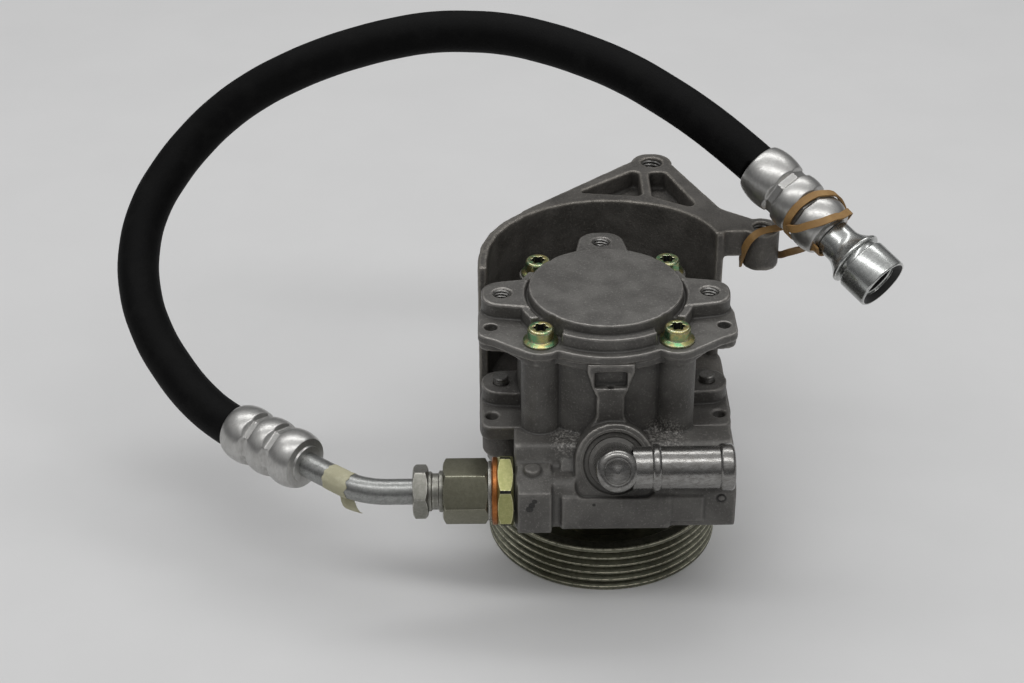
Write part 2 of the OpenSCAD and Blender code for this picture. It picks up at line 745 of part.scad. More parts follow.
module dowel_holes(z, h) {
    for (sy = [-1, 1]) translate([0, sy * dowel_circle_r(), z]) cylinder(r = dowel_d / 2 + 0.03, h = h);
}

// The dowels stand where the cam ring's wall is thickest.
function dowel_circle_r() = (cam_minor_r + chamber_d / 2) / 2 + 0.3;

module plate(z, h) {
    difference() {
        rod(chamber_d / 2 - plate_gap, z, h);
        rod(plate_bore_r, z - 1, h + 2);
        translate([0, 0, z - 1]) kidney_ports(h + 2);
        dowel_holes(z - 1, h + 2);
    }
}

module side_plate() {
    color("#8d8f90") plate(chamber_z, side_plate_t);
}

module pressure_plate() {
    color("#8d8f90") plate(pressure_plate_z, pressure_plate_t);
}

module cam_ring() {
    steps = 72;
    color("#7f8284")
        translate([0, 0, cam_z])
            difference() {
                linear_extrude(cam_h)
                    difference() {
                        circle(r = chamber_d / 2 - plate_gap);
                        polygon([for (i = [0:steps - 1])
                            let (a = 360 * i / steps, r = cam_minor_r + cam_lift * (1 + cos(2 * a)) / 2)
                            r * [cos(a), sin(a)]]);
                    }
                dowel_holes(-1, cam_h + 2);
            }
}

module dowel_pins() {
    color(steel)
        for (sy = [-1, 1])
            translate([0, sy * dowel_circle_r(), chamber_z + 1])
                cylinder(d = dowel_d, h = side_plate_t + cam_h + pressure_plate_t - 2);
}

// A cone washer that presses the plate onto the cam ring.
module plate_spring() {
    sheet = 0.9;
    z = pressure_plate_z + pressure_plate_t;
    r_in = plate_bore_r + 1;
    color(steel)
        rotate_extrude()
            polygon([
                [r_in, z + plate_spring_h - sheet], [plate_spring_d / 2, z],
                [plate_spring_d / 2, z + sheet], [r_in, z + plate_spring_h]]);
}

module rotor() {
    h = cam_h - 2 * rotor_play;
    slot = vane_t + 2 * running_gap;
    color("#8a8c8e")
        difference() {
            rod(rotor_r, cam_z + rotor_play, h);
            rod(spline_d / 2, cam_z, cam_h);
            for (i = [1:vane_count])
                rotate([0, 0, vane_angle(i)])
                    translate([slot_foot_r, -slot / 2, cam_z]) cube([rotor_r, slot, cam_h]);
        }
}

function vane_angle(i) = 360 * (i - 0.5) / vane_count;

module vane(i) {
    color("#b0b3b5")
        rotate([0, 0, vane_angle(i)])
            translate([vane_tip_r - vane_l, -vane_t / 2, cam_z + rotor_play])
                cube([vane_l, vane_t, cam_h - 2 * rotor_play]);
}

module rotor_clip() {
    color(steel) ring(spline_d / 2, spline_d / 2 + 2.2, pressure_plate_z - rotor_play, clip_t);
}

// Shaft and bearing
module drive_shaft() {
    foot_z = hub_z - 1;
    spline_z = chamber_z - 1;
    tail_z = pressure_plate_z + 3;
    color(steel)
        rotate_extrude()
            polygon([
                [0, foot_z], [shaft_d / 2 - 0.8, foot_z], [shaft_d / 2, foot_z + 0.8], [shaft_d / 2, spline_z],
                [spline_d / 2, spline_z], [spline_d / 2, tail_z], [tail_d / 2, tail_z],
                [tail_d / 2, shaft_top_z - 0.6], [tail_d / 2 - 0.6, shaft_top_z], [0, shaft_top_z]]);
}

// One ring of the bearing between two radii, with the race turned out of it.
module race_ring(r_in, r_out) {
    color("#b4b7b9")
        translate([0, 0, bearing_z])
            rotate_extrude()
                difference() {
                    translate([r_in, 0]) square([r_out - r_in, bearing_w]);
                    translate([bearing_mid_r, bearing_w / 2]) circle(r = race_r);
                }
}

module bearing_outer_ring() {
    race_ring(bearing_mid_r + ball_d * 0.3, bearing_d / 2);
}

module bearing_inner_ring() {
    race_ring(shaft_d / 2, bearing_mid_r - ball_d * 0.3);
}

module at_balls() {
    for (i = [0:ball_count - 1])
        rotate([0, 0, 360 * i / ball_count])
            translate([bearing_mid_r, 0, bearing_z + bearing_w / 2]) children();
}

module bearing_balls() {
    color("#d0d3d5") at_balls() sphere(d = ball_d);
}

module bearing_cage() {
    half_h = ball_d * 0.62;
    color("#b89a55")
        difference() {
            ring(bearing_mid_r - ball_d * 0.15, bearing_mid_r + ball_d * 0.15,
                 bearing_z + bearing_w / 2 - half_h, 2 * half_h);
            at_balls() sphere(r = ball_d / 2 + running_gap);
        }
}

module bearing_clip() {
    color(steel)
        rotate([0, 0, 105])
            translate([0, 0, clip_z])
                rotate_extrude(angle = 330) translate([bearing_d / 2 - 2, 0]) square([2.8, clip_t]);
}

module shaft_seal() {
    z = seal_z + 0.2;
    h = seal_w - 0.4;
    color("#2a2a29")
        rotate_extrude()
            polygon([
                [seal_d / 2, z], [seal_d / 2, z + h], [shaft_d / 2 + 2.4, z + h],
                [shaft_d / 2 + running_gap, z + h - 1.2], [shaft_d / 2 + running_gap, z + h - 2],
                [shaft_d / 2 + 2.6, z + h - 1.8], [shaft_d / 2 + 2.6, z]]);
}

// Pulley and hub
module at_pulley_bolts() {
    for (i = [0:pulley_bolt_count - 1])
        rotate([0, 0, 90 + 360 * i / pulley_bolt_count]) translate([pulley_bolt_r, 0, 0]) children();
}

module pulley_hub() {
    color("#77766f")
        difference() {
            union() {
                rod(hub_flange_d / 2, hub_z, hub_flange_t);
                rod(hub_sleeve_d / 2, hub_z, bearing_z - hub_z);
            }
            rod(shaft_d / 2, hub_z - 1, 30);
            at_pulley_bolts() rod(pulley_bolt_d / 2 + bolt_gap, hub_z - 1, hub_flange_t + 2);
        }
}

// Points of the belt grooves from the lower crest to the upper one.
function groove_points() =
    let (crest = 0.42, root = 0.4)
    [for (k = [0:rib_count - 1])
        let (z = rim_edge + k * rib_pitch)
        each [[pulley_r, z + crest], [pulley_r - groove_depth, z + rib_pitch / 2 - root],
              [pulley_r - groove_depth, z + rib_pitch / 2 + root], [pulley_r, z + rib_pitch - crest]]];

module pulley() {
    edge = 0.4;
    bend_r = 2;
    pilot_r = shaft_d / 2 + 0.5;
    section = concat(
        [[pilot_r, web_z]],
        arc([rim_inner_r - bend_r, web_z - bend_r], bend_r, 90, 0, 4),
        [[rim_inner_r, edge], [rim_inner_r + edge, 0], [pulley_r - edge, 0], [pulley_r, edge]],
        groove_points(),
        [[pulley_r, pulley_h - edge], [pulley_r - edge, pulley_h], [rim_inner_r + edge, pulley_h],
         [rim_inner_r, pulley_h - edge]],
        arc([rim_inner_r - bend_r, hub_z + bend_r], bend_r, 0, -90, 4),
        [[pilot_r, hub_z]]);
    color("#8c8b78")
        difference() {
            rotate_extrude($fn = 96) polygon(section);
            at_pulley_bolts() rod(pulley_bolt_d / 2 + bolt_gap, web_z - 1, web_t + 2);
        }
}

module pulley_bolts() {
    head_h = 4;
    color("#8f8f80")
        at_pulley_bolts() {
            translate([0, 0, web_z - head_h]) turned_hexagon(1.6 * pulley_bolt_d, head_h);
            rod(pulley_bolt_d / 2, web_z - 1, web_t + hub_flange_t + 1);
        }
}

// Flow control valve: the spool rests on the union's inner end, the spring behind it.
function spool_x() = union_foot_x + 0.3;
function spring_x() = spool_x() + spool_l;
function bore_end_x() = spring_x() + spool_travel + 22;

module valve_spool() {
    r = valve_d / 2 - running_gap;
    groove_r = r - 1.6;
    color("#a5a8aa")
        at_outlet(spring_x())
            rotate_extrude()
                polygon([
                    [0, 0], [r - 0.5, 0], [r, 0.5], [r, 9], [groove_r, 9.6], [groove_r, 15.4], [r, 16],
                    [r, spool_l - 6], [groove_r, spool_l - 5.4], [groove_r, spool_l], [0, spool_l]]);
}

module valve_spring() {
    wire_r = 0.7;
    turns = 7;
    per_turn = 10;
    coil_r = valve_d / 2 - wire_r - 0.8;
    x0 = spring_x() + wire_r + 0.1;
    x1 = bore_end_x() - wire_r - 0.1;
    path = [for (i = [0:turns * per_turn])
        [x0 + (x1 - x0) * i / (turns * per_turn), -valve_y + coil_r * cos(360 * i / per_turn),
         valve_z + coil_r * sin(360 * i / per_turn)]];
    ends = [unit(path[1] - path[0]), unit(path[turns * per_turn] - path[turns * per_turn - 1])];
    color(steel) swept(path, path_dirs(path, ends[0], ends[1]), wire_r, 6);
}

// Suction elbow: a domed plug in the boss with the pipe brazed into its side.
module suction_elbow() {
    plug_r = plug_d / 2;
    pipe_r = suction_d / 2;
    plug_foot = -plug_depth;
    dome = 3;
    face_r = 5.2;
    collar_r = plug_r + 1.7;
    pipe_l = suction_end_x - suction_x;
    bead_r = pipe_r + 0.9;
    color("#8f8c86")
        at_suction()
            difference() {
                union() {
                    rotate_extrude()
                        polygon(concat(
                            [[0, plug_foot], [plug_r, plug_foot], [plug_r, -spot_depth],
                             [collar_r, -spot_depth], [collar_r, 0.8 - spot_depth], [plug_r, 1.4 - spot_depth]],
                            [for (i = [0:arc_steps])
                                [face_r + (plug_r - face_r) * cos(90 * i / arc_steps),
                                 plug_rise - dome + dome * sin(90 * i / arc_steps)]],
                            [[0, plug_rise]]));
                    translate([0, 0, suction_rise])
                        rotate([0, 90, 0])
                            rotate_extrude()
                                polygon([
                                    [0, 0], [pipe_r, 0], [pipe_r, 13], [bead_r, 13.8], [bead_r, 15.6],
                                    [pipe_r, 16.4], [pipe_r, pipe_l - 5.6], [bead_r, pipe_l - 4.8],
                                    [bead_r, pipe_l - 1], [pipe_r, pipe_l], [0, pipe_l]]);
                }
                translate([0, 0, plug_foot - 1])
                    cylinder(r = plug_r - suction_wall, h = plug_rise - plug_foot - 3.5);
                translate([0, 0, suction_rise])
                    rotate([0, 90, 0]) cylinder(r = pipe_r - suction_wall, h = pipe_l + 1);
            }
}

module suction_seal() {
    wire_r = 0.6;
    color("#20201f")
        at_suction()
            translate([0, 0, wire_r + 0.05 - seal_recess])
                rotate_extrude() translate([plug_d / 2 + wire_r + 0.05, 0]) circle(r = wire_r, $fn = 24);
}

// Pressure line from the block outwards; each hexagon's turn about the line is from a corner on top.
union_turn = 3.7;
adapter_turn = -28;
nut_turn = -12.5;

module outlet_union() {
    bore_r = 4;
    socket_r = adapter_thread_r();
    color("#b7a84b")
        at_outlet(union_x)
            difference() {
                union() {
                    rotate([0, 0, union_turn]) turned_hexagon(union_flats, union_l);
                    translate([0, 0, -union_thread_l])
                        cylinder(d = union_thread_d - 2 * running_gap, h = union_thread_l + 1);
                }
                translate([0, 0, -union_thread_l - 1]) cylinder(r = bore_r, h = union_thread_l + union_l + 2);
                translate([0, 0, union_l - adapter_thread_l()])
                    cylinder(r = socket_r, h = adapter_thread_l() + 1);
            }
}

function adapter_thread_r() = union_thread_d / 2 - 2;
function adapter_thread_l() = union_l + 4;

module copper_washer() {
    color("#c06a2c")
        at_outlet(washer_x)
            ring(adapter_thread_r() + 0.3, washer_d / 2, 0, washer_t);
}

module outlet_adapter() {
    neck_r = tube_d / 2 + 2;
    color("#8d8c80")
        at_outlet(collar_x)
            difference() {
                union() {
                    translate([0, 0, -washer_t - adapter_thread_l() + 0.5])
                        cylinder(r = adapter_thread_r() - running_gap, h = washer_t + adapter_thread_l());
                    cylinder(d = adapter_flats + 1, h = adapter_collar_l);
                    rotate([0, 0, adapter_turn])
                        turned_hexagon(adapter_flats, adapter_l + eps, adapter_collar_l - eps);
                    translate([0, 0, adapter_collar_l + adapter_l - 1])
                        rotate_extrude()
                            polygon([
                                [0, 0], [neck_r + 1, 0], [neck_r + 1, 2.4], [neck_r, 2.8],
                                [neck_r, adapter_neck_l - 0.8], [neck_r + 0.7, adapter_neck_l - 0.4],
                                [neck_r + 0.7, adapter_neck_l + 1], [0, adapter_neck_l + 1]]);
                }
                translate([0, 0, -washer_t - adapter_thread_l() - 1])
                    cylinder(d = tube_d - 2 * tube_wall, h = adapter_l + 40);
                translate([0, 0, adapter_collar_l + adapter_l + adapter_neck_l - tube_seat_l()])
                    cylinder(d = tube_d + 2 * running_gap, h = tube_seat_l() + 1);
            }
}

// Depth to which the tube enters the adapter.
function tube_seat_l() = adapter_neck_l + 4;

module tube_nut() {
    color("#b9bbb8")
        at_outlet(nut_x)
            difference() {
                rotate([0, 0, nut_turn]) turned_hexagon(nut_flats, nut_l);
                translate([0, 0, -1]) cylinder(d = tube_d + 2 * running_gap, h = nut_l + 2);
            }
}

// The tube's straight lines meet at the corner; the far one ends in the near ferrule.
function tube_far_l() = (hose_start.y + valve_y) / sin(tube_bend);
function tube_corner_x() = hose_start.x + tube_far_l() * cos(tube_bend);
function bend_trim() = tube_bend_r * tan(tube_bend / 2);
function ferrule_seat_l() = 10;

// The bend is a hair thinner than the two straights and laps into their ends.
bend_step = 0.02;
bend_lap = 0.4;

module tube_section(step = 0) {
    difference() {
        circle(d = tube_d - 2 * step);
        circle(d = tube_d - 2 * tube_wall + 2 * step);
    }
}

module pressure_tube() {
    start_x = nut_x + tube_seat_l();
    bend_x = tube_corner_x() + bend_trim();
    straight_l = tube_far_l() - bend_trim() - ferrule_l + ferrule_seat_l();
    color("#a3a6a8") {
        at_outlet(start_x) linear_extrude(start_x - bend_x) tube_section();
        translate([bend_x, -valve_y + tube_bend_r, valve_z])
            rotate([0, 0, 270 - tube_bend - bend_lap])
                rotate_extrude(angle = tube_bend + 2 * bend_lap)
                    translate([tube_bend_r, 0]) tube_section(bend_step);
        pointing(hose_start - near_dir * (tube_far_l() - bend_trim()), near_dir)
            linear_extrude(straight_l) tube_section();
    }
}

// Paper tape wound round the tube beyond the bend, with its loose end hanging down.
module tube_tape() {
    sheet = 0.25;
    r = tube_d / 2 + 0.03;
    start = hose_start - near_dir * (tube_far_l() - bend_trim() - 1);
    color("#ded8b4")
        pointing(start, near_dir)
            difference() {
                union() {
                    cylinder(r = r + sheet, h = tape_l);
                    rotate([0, 0, 20]) translate([r - 1, -sheet, 0.5]) cube([8, sheet, 5]);
                }
                translate([0, 0, -1]) cylinder(r = r, h = tape_l + 2);
            }
}

// A crimped ferrule has three bulges from the hose's end on, with crimp flats in the two waists.
function bulges() = [[0, waist_t[0]], [waist_t[0], waist_t[1]], [waist_t[1], ferrule_l]];
function bulge_r(s) = (waist_d + (ferrule_d - waist_d) * pow(sin(180 * s), 0.7)) / 2;

// Radius of a ferrule at the distance t from the hose's end.
function ferrule_r(t) =
    let (b = bulges()[t < waist_t[0] ? 0 : t < waist_t[1] ? 1 : 2])
    bulge_r((t - b[0]) / (b[1] - b[0]));

module ferrule(socket_d) {
    steps = 8;
    end_r = tube_d / 2 + 2.6;
    end_t = ferrule_l + 1.2;
    color("#bfc1c1")
        difference() {
            rotate_extrude()
                polygon(concat(
                    [[0, 0]],
                    [for (b = bulges(), i = [0:steps - 1])
                        let (s = (i + 0.5) / steps) [bulge_r(s), b[0] + (b[1] - b[0]) * s]],
                    [[end_r, ferrule_l], [end_r, end_t], [0, end_t]]));
            crimp_flats(waist_t, waist_d / 2);
            translate([0, 0, ferrule_l - ferrule_seat_l()]) cylinder(d = socket_d, h = ferrule_seat_l() + 2);
        }
}

module crimp_flats(heights, r) {
    flats = 8;
    for (z = heights, i = [0:flats - 1])
        rotate([0, 0, 360 * i / flats])
            translate([r - 0.4, -2.4, z - 2.4]) cube([6, 4.8, 4.8]);
}

// The near ferrule stands on the hose's first face and takes the tube; the far one takes the coupling.
module near_ferrule() {
    pointing(hose_start, -near_dir) ferrule(tube_d + 2 * running_gap);
}

module far_ferrule() {
    pointing(hose_end, far_dir) ferrule(tube_d + 2 * running_gap);
}

module pressure_hose() {
    color("#151516") swept(hose_route, path_dirs(hose_route, near_dir, far_dir), hose_d / 2, 12);
}

// Screw coupling on the hose's far end: a stem in the ferrule, a waisted flange and a collar with its bore.
module hose_coupling() {
    r = coupling_d / 2;
    stem_r = tube_d / 2;
    neck_r = 7.6;
    collar_l = 16;
    color(zinc)
        pointing(hose_end + far_dir * ferrule_l, far_dir)
            difference() {
                rotate_extrude()
                    polygon([
                        [0, 0.4 - ferrule_seat_l()], [stem_r, 0.4 - ferrule_seat_l()], [stem_r, 1.4],
                        [neck_r, 1.4],
                        [neck_r, 5], [neck_r - 1, 6], [neck_r - 1, 7.4], [neck_r, 8.4],
                        [r + 0.6, coupling_l - collar_l - 2.6], [r + 0.6, coupling_l - collar_l - 1],
                        [r - 1.4, coupling_l - collar_l - 0.6], [r - 1.4, coupling_l - collar_l],
                        [r - 0.6, coupling_l - collar_l], [r, coupling_l - collar_l + 0.6],
                        [r, coupling_l - 0.8], [r - 0.8, coupling_l], [0, coupling_l]]);
                translate([0, 0, coupling_l - 11]) cylinder(d = coupling_bore_d, h = 12);
                translate([0, 0, coupling_l - 1.5])
                    cylinder(d1 = coupling_bore_d, d2 = coupling_bore_d + 4, h = 2);
                translate([0, 0, -ferrule_seat_l()]) cylinder(d = tube_d - 2 * tube_wall, h = 60);
            }
}

// Bracket
// The wall's middle line, moved outwards by off, from the left front edge round the back to the right end.
function wall_curve(off) =
    let (left = corner_centre(left_corner_r - left_wall_x, left_corner_r),
         right = corner_centre(right_wall_x - right_corner_r, right_corner_r),
         left_turn = atan2(left.y, left.x), right_turn = atan2(right.y, right.x),
         third = (left_turn - right_turn) / 3)
    concat([[-left_wall_x - off, left_wall_y]],
           arc(left, left_corner_r + off, 180, left_turn),
           arc([0, 0], back_r + off, left_turn - third, right_turn + third, 1),
           arc(right, right_corner_r + off, right_turn, right_wall_end));

// Centre at that x of a corner arc that runs smoothly into the back wall's arc.
function corner_centre(x, r) = [x, sqrt(pow(back_r - r, 2) - pow(x, 2))];

function reversed(list) = [for (i = [len(list) - 1:-1:0]) list[i]];

module bracket_wall() {
    half = bracket_t / 2;
    translate([0, 0, wall_z])
        linear_extrude(rim_z - wall_z) polygon(concat(wall_curve(half), reversed(wall_curve(-half))));
}

// Base under the side lugs with a boss round each bolt, clear of the housing's drum.
module bracket_base() {
    reach = side_lug_r + 1.4;
    drum_gap = 1.5;
    translate([0, 0, side_lug_z - base_t])
        linear_extrude(base_t)
            difference() {
                union() {
                    polygon(wall_curve(0));
                    polygon(rounded([
                        [-left_wall_x - bracket_t / 2, 14, 0], [-left_wall_x - bracket_t / 2, -reach, 6],
                        [-side_lug_x + reach, -reach, 3], [-side_lug_x + reach, 14, 0]]));
                    polygon(rounded([
                        [right_wall_x + bracket_t / 2, 42, 8], [side_lug_x - reach, 42, 0],
                        [side_lug_x - reach, -reach, 3], [right_wall_x + bracket_t / 2, -reach, 6]]));
                }
                circle(r = drum_d / 2 + drum_gap);
            }
    difference() {
        both_sides()
            translate([side_lug_x, 0, side_lug_z - base_boss_h])
                cylinder(r = side_lug_r, h = base_boss_h - base_t + 1);
        rod(drum_d / 2 + drum_gap, side_lug_z - base_boss_h - 1, base_boss_h);
    }
}

// The arm from the wall to its boss, with two pockets beside a rib, and the web to the ear.
module bracket_arm() {
    translate([0, 0, rim_z - arm_t])
        linear_extrude(arm_t)
            difference() {
                polygon(rounded([
                    [-32, 56, 0], [-15, 72, 60], [arm_boss.x - 7, arm_boss.y + 3, 0],
                    [arm_boss.x + 7, arm_boss.y + 2, 0], [50, 56.5, 12], [ear.x - 2, ear.y + 6.2, 0],
                    [ear.x - 2, ear.y - 3.6, 0], [right_wall_x - 4, 37, 0]]));
                polygon(wall_curve(-bracket_t / 4));
            }
}

module arm_pockets() {
    rib = 4.5;
    x = arm_boss.x - 4;
    translate([0, 0, rim_z - pocket_depth])
        linear_extrude(pocket_depth + 1) {
            polygon(rounded([[-8, 72.2, 1], [x - rib / 2, 93, 2], [x - rib / 2, 68.5, 2]]));
            polygon(rounded([
                [x + rib / 2, 90, 1.5], [x + rib / 2 + 6.5, 90, 1.5], [41, 56.5, 2], [x + rib / 2, 68, 2]]));
        }
}

module bracket() {
    color(bracket_grey)
        difference() {
            union() {
                bracket_wall();
                bracket_base();
                difference() {
                    bracket_arm();
                    arm_pockets();
                }
                translate([arm_boss.x, arm_boss.y, rim_z - arm_boss_h])
                    cylinder(d = arm_boss_d, h = arm_boss_h);
                translate([ear.x, ear.y, rim_z - ear_h]) cylinder(d = ear_d, h = ear_h);
            }
            translate([arm_boss.x, arm_boss.y, rim_z - arm_boss_h - 1])
                cylinder(d = arm_hole_d, h = arm_boss_h + 2);
            translate([ear.x, ear.y, rim_z - ear_h - 1]) cylinder(d = ear_hole_d, h = ear_h + 2);
            both_sides()
                translate([side_lug_x, 0, side_lug_z - base_boss_h - 1])
                    cylinder(r = bracket_bolt_d / 2 + bolt_gap, h = base_boss_h + 2);
        }
}

module bracket_bolts() {
    head_h = 5;
    foot_z = side_lug_z - base_boss_h;
    color("#8f8f80")
        both_sides()
            translate([side_lug_x, 0, 0]) {
                translate([0, 0, foot_z - head_h]) turned_hexagon(1.7 * bracket_bolt_d, head_h);
                rod(bracket_bolt_d / 2, foot_z - 1, base_boss_h + side_lug_h + bracket_bolt_proud + 1);
            }
}

// Rubber band that ties the hose's far end to the ear: round the ear's back, twice round the ferrule
// and round the ear's front again.
module rubber_band() {
    wire_r = 1.1;
    slack = 0.6;
    steps = 40;
    ear_steps = 13;
    grip_from = -450;
    grip_to = 235;
    front_from = -35;
    front_to = -272;
    ear_r = ear_d / 2 + wire_r + slack;
    low_z = rim_z - ear_h + 2;
    // Turn round the ear and height there, then turn round the ferrule and distance along it.
    ear_height = [
        [front_to, low_z], [-150, low_z + 0.5], [-130, low_z + 4.5], [-90, rim_z - 4],
        [front_from, rim_z - 3.5]];
    grip_place = [[grip_from, 29.2], [-125, 29.2], [-90, 34], [-20, 38], [70, 40], [grip_to, 33]];
    back = [for (a = [85, 50, 20]) on_ear(a, ear_r, low_z)];
    grip = [for (i = [0:steps])
        let (a = grip_from + (grip_to - grip_from) * i / steps, t = lookup(a, grip_place))
        on_far_ferrule(a, ferrule_r(t) + wire_r + slack, t)];
    front = [for (i = [0:ear_steps])
        let (a = front_from + (front_to - front_from) * i / ear_steps)
        on_ear(a, ear_r, lookup(a, ear_height))];
    path = concat(back, grip, front);
    last = len(path) - 1;
    color("#8a6a3a")
        swept(path, path_dirs(path, unit(path[1] - path[0]), unit(path[last] - path[last - 1])), wire_r, 6);
}

function on_ear(turn, r, z) = [ear.x + r * cos(turn), ear.y + r * sin(turn), z];
function on_far_ferrule(turn, r, t) =
    let (side = unit(cross([0, 0, 1], far_dir)))
    hose_end + far_dir * t + r * (cos(turn) * side + sin(turn) * cross(far_dir, side));

housing();
rear_cover();
cover_seal();
cover_bolts();
rear_bush();
plate_spring();
pressure_plate();
cam_ring();
side_plate();
dowel_pins();
shaft_seal();
bearing_outer_ring();
bearing_clip();
suction_elbow();
suction_seal();
outlet_union();
copper_washer();
outlet_adapter();
tube_nut();
pressure_tube();
tube_tape();
near_ferrule();
pressure_hose();
far_ferrule();
hose_coupling();
rubber_band();
bracket();
bracket_bolts();
valve_spring();
drive_shaft();
rotor();
rotor_clip();
bearing_inner_ring();
pulley_hub();
pulley();
pulley_bolts();
bearing_balls();
bearing_cage();
valve_spool();
for (i = [1:vane_count]) vane(i);
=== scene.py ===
# %% [markdown]
# # A belt driven pump, dressed for its picture
# The pump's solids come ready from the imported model, in metres, standing on the pulley's lower rim.
# This lesson keeps their places and sizes, gives each visible piece rounded edges and a worn metal, rubber
# or paper finish, and sets up the camera, the floor and the light.

# %% Frame and units
import json
import math

import bmesh
import bpy
from mathutils import Matrix, Vector, kdtree, noise


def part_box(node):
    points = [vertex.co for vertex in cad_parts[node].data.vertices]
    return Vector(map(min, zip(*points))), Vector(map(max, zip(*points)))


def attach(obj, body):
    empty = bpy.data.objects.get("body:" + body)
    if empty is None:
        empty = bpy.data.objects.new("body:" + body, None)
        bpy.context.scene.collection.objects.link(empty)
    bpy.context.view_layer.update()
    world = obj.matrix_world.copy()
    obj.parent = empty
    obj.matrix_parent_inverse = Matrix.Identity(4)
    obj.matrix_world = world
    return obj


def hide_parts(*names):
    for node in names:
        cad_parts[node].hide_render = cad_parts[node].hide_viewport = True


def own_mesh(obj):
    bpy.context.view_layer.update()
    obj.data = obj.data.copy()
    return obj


MM = 0.001
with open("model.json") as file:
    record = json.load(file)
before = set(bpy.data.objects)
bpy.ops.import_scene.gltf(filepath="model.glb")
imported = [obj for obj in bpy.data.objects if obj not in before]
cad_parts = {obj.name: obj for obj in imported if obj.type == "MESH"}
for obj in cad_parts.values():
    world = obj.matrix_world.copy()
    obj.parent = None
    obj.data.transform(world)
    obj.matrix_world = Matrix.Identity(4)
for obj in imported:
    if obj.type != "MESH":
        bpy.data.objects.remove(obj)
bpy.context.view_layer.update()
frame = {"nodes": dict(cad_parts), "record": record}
scene = bpy.context.scene
scene.view_settings.view_transform = "Standard"

# %% [markdown]
# ## Camera
# A camera could be found by moving it until things line up by eye. Here its place, direction and small roll
# were worked out from points of the pulley and the cover, so they are written down as numbers.

# %% Camera
camera_place = Vector((-39.289, -650.798, 491.663)) * MM
forward = Vector((0.00365, 0.84965, -0.52733)).normalized()
roll = math.radians(-0.458)
level_right = forward.cross(Vector((0, 0, 1))).normalized()
level_up = level_right.cross(forward)
right = level_right * math.cos(roll) + level_up * math.sin(roll)
up = level_up * math.cos(roll) - level_right * math.sin(roll)
lens = bpy.data.cameras.new("camera")
lens.sensor_width = 36
lens.lens = 68.48
camera = bpy.data.objects.new("camera", lens)
camera.matrix_world = Matrix.Translation(camera_place) @ Matrix((right, up, -forward)).transposed().to_4x4()
scene.collection.objects.link(camera)
scene.camera = camera
print("camera at", [round(v, 3) for v in camera_place])

# %% [markdown]
# ## The hose's line
# The pressure hose is stiff and is held at both ends, so it stands in one wide arch. A curve object with a
# round bevel is the simplest tube that stays editable: its points are the hose's route. Both ends reach a
# little into the crimp sleeves.

# %% Hose
HOSE_D = 17.3
NEAR_INSET, FAR_INSET = 3.5, 1.2
BEND = math.radians(40)
near_dir = Vector((-math.cos(BEND), math.sin(BEND), 0))
far_drop, far_turn = math.radians(23), math.radians(-47)
far_dir = Vector((math.cos(far_drop) * math.cos(far_turn), math.cos(far_drop) * math.sin(far_turn),
                  -math.sin(far_drop)))
ROUTE = [
    (-149.7, 0, 49), (-163.5, 12.5, 52.5), (-176.5, 27, 60.5), (-186, 41, 69.5), (-192, 56, 80),
    (-193.5, 72, 91.5), (-190, 86, 103), (-182, 97.5, 114), (-171.5, 106.5, 124.5), (-159, 111.5, 135),
    (-145, 113.5, 144.5), (-130, 114, 152.5), (-115, 114, 159), (-100, 114, 164), (-85, 113.5, 168),
    (-69, 112.5, 171), (-53, 109.5, 172.5), (-37.5, 105, 173), (-22, 98.5, 172), (-6, 91, 169.5),
    (10, 83, 165.5), (25, 74, 160), (43.5, 61.5, 151.5), (62, 46, 141)]
near_end, far_end = Vector(ROUTE[0]), Vector(ROUTE[-1])
route = [near_end - near_dir * NEAR_INSET, *map(Vector, ROUTE), far_end + far_dir * FAR_INSET]
line = bpy.data.curves.new("hose", "CURVE")
line.dimensions = "3D"
line.bevel_depth = HOSE_D / 2 * MM
line.bevel_resolution = 10
line.use_fill_caps = True
spline = line.splines.new("BEZIER")
spline.bezier_points.add(len(route) - 1)
spline.resolution_u = 6
for knot, place in zip(spline.bezier_points, route):
    knot.co = place * MM
    knot.handle_left_type = knot.handle_right_type = "AUTO"
hose = bpy.data.objects.new("hose", line)
scene.collection.objects.link(hose)

# %% [markdown]
# ## Helpers for shapes
# Most of the small pieces were turned on a lathe, so their shape is an outline spun about an axis. Hexagons
# are stacks of rings instead. Both are built upright at the origin and then put in place by one matrix,
# which keeps every finished object at the origin with its place in its mesh.

# %% Turning, rings and edges
def turned(bm, outline, steps=96):
    """Spins an outline of (radius, height) points in millimetres about Z and returns the new vertices."""
    before = set(bm.verts)
    start = [bm.verts.new((r * MM, 0, h * MM)) for r, h in outline]
    edges = [bm.edges.new(pair) for pair in zip(start, start[1:])]
    bmesh.ops.spin(bm, geom=start + edges, cent=(0, 0, 0), axis=(0, 0, 1), dvec=(0, 0, 0),
                   angle=2 * math.pi, steps=steps, use_merge=True)
    bmesh.ops.remove_doubles(bm, verts=[v for v in bm.verts if v not in before], dist=1e-7)
    return [v for v in bm.verts if v not in before]


def extruded(bm, edges):
    """Extrudes edges and returns the new edges and vertices."""
    fresh = bmesh.ops.extrude_edge_only(bm, edges=edges)["geom"]
    verts = [g for g in fresh if isinstance(g, bmesh.types.BMVert)]
    return [g for g in fresh if isinstance(g, bmesh.types.BMEdge) and all(v in verts for v in g.verts)], verts


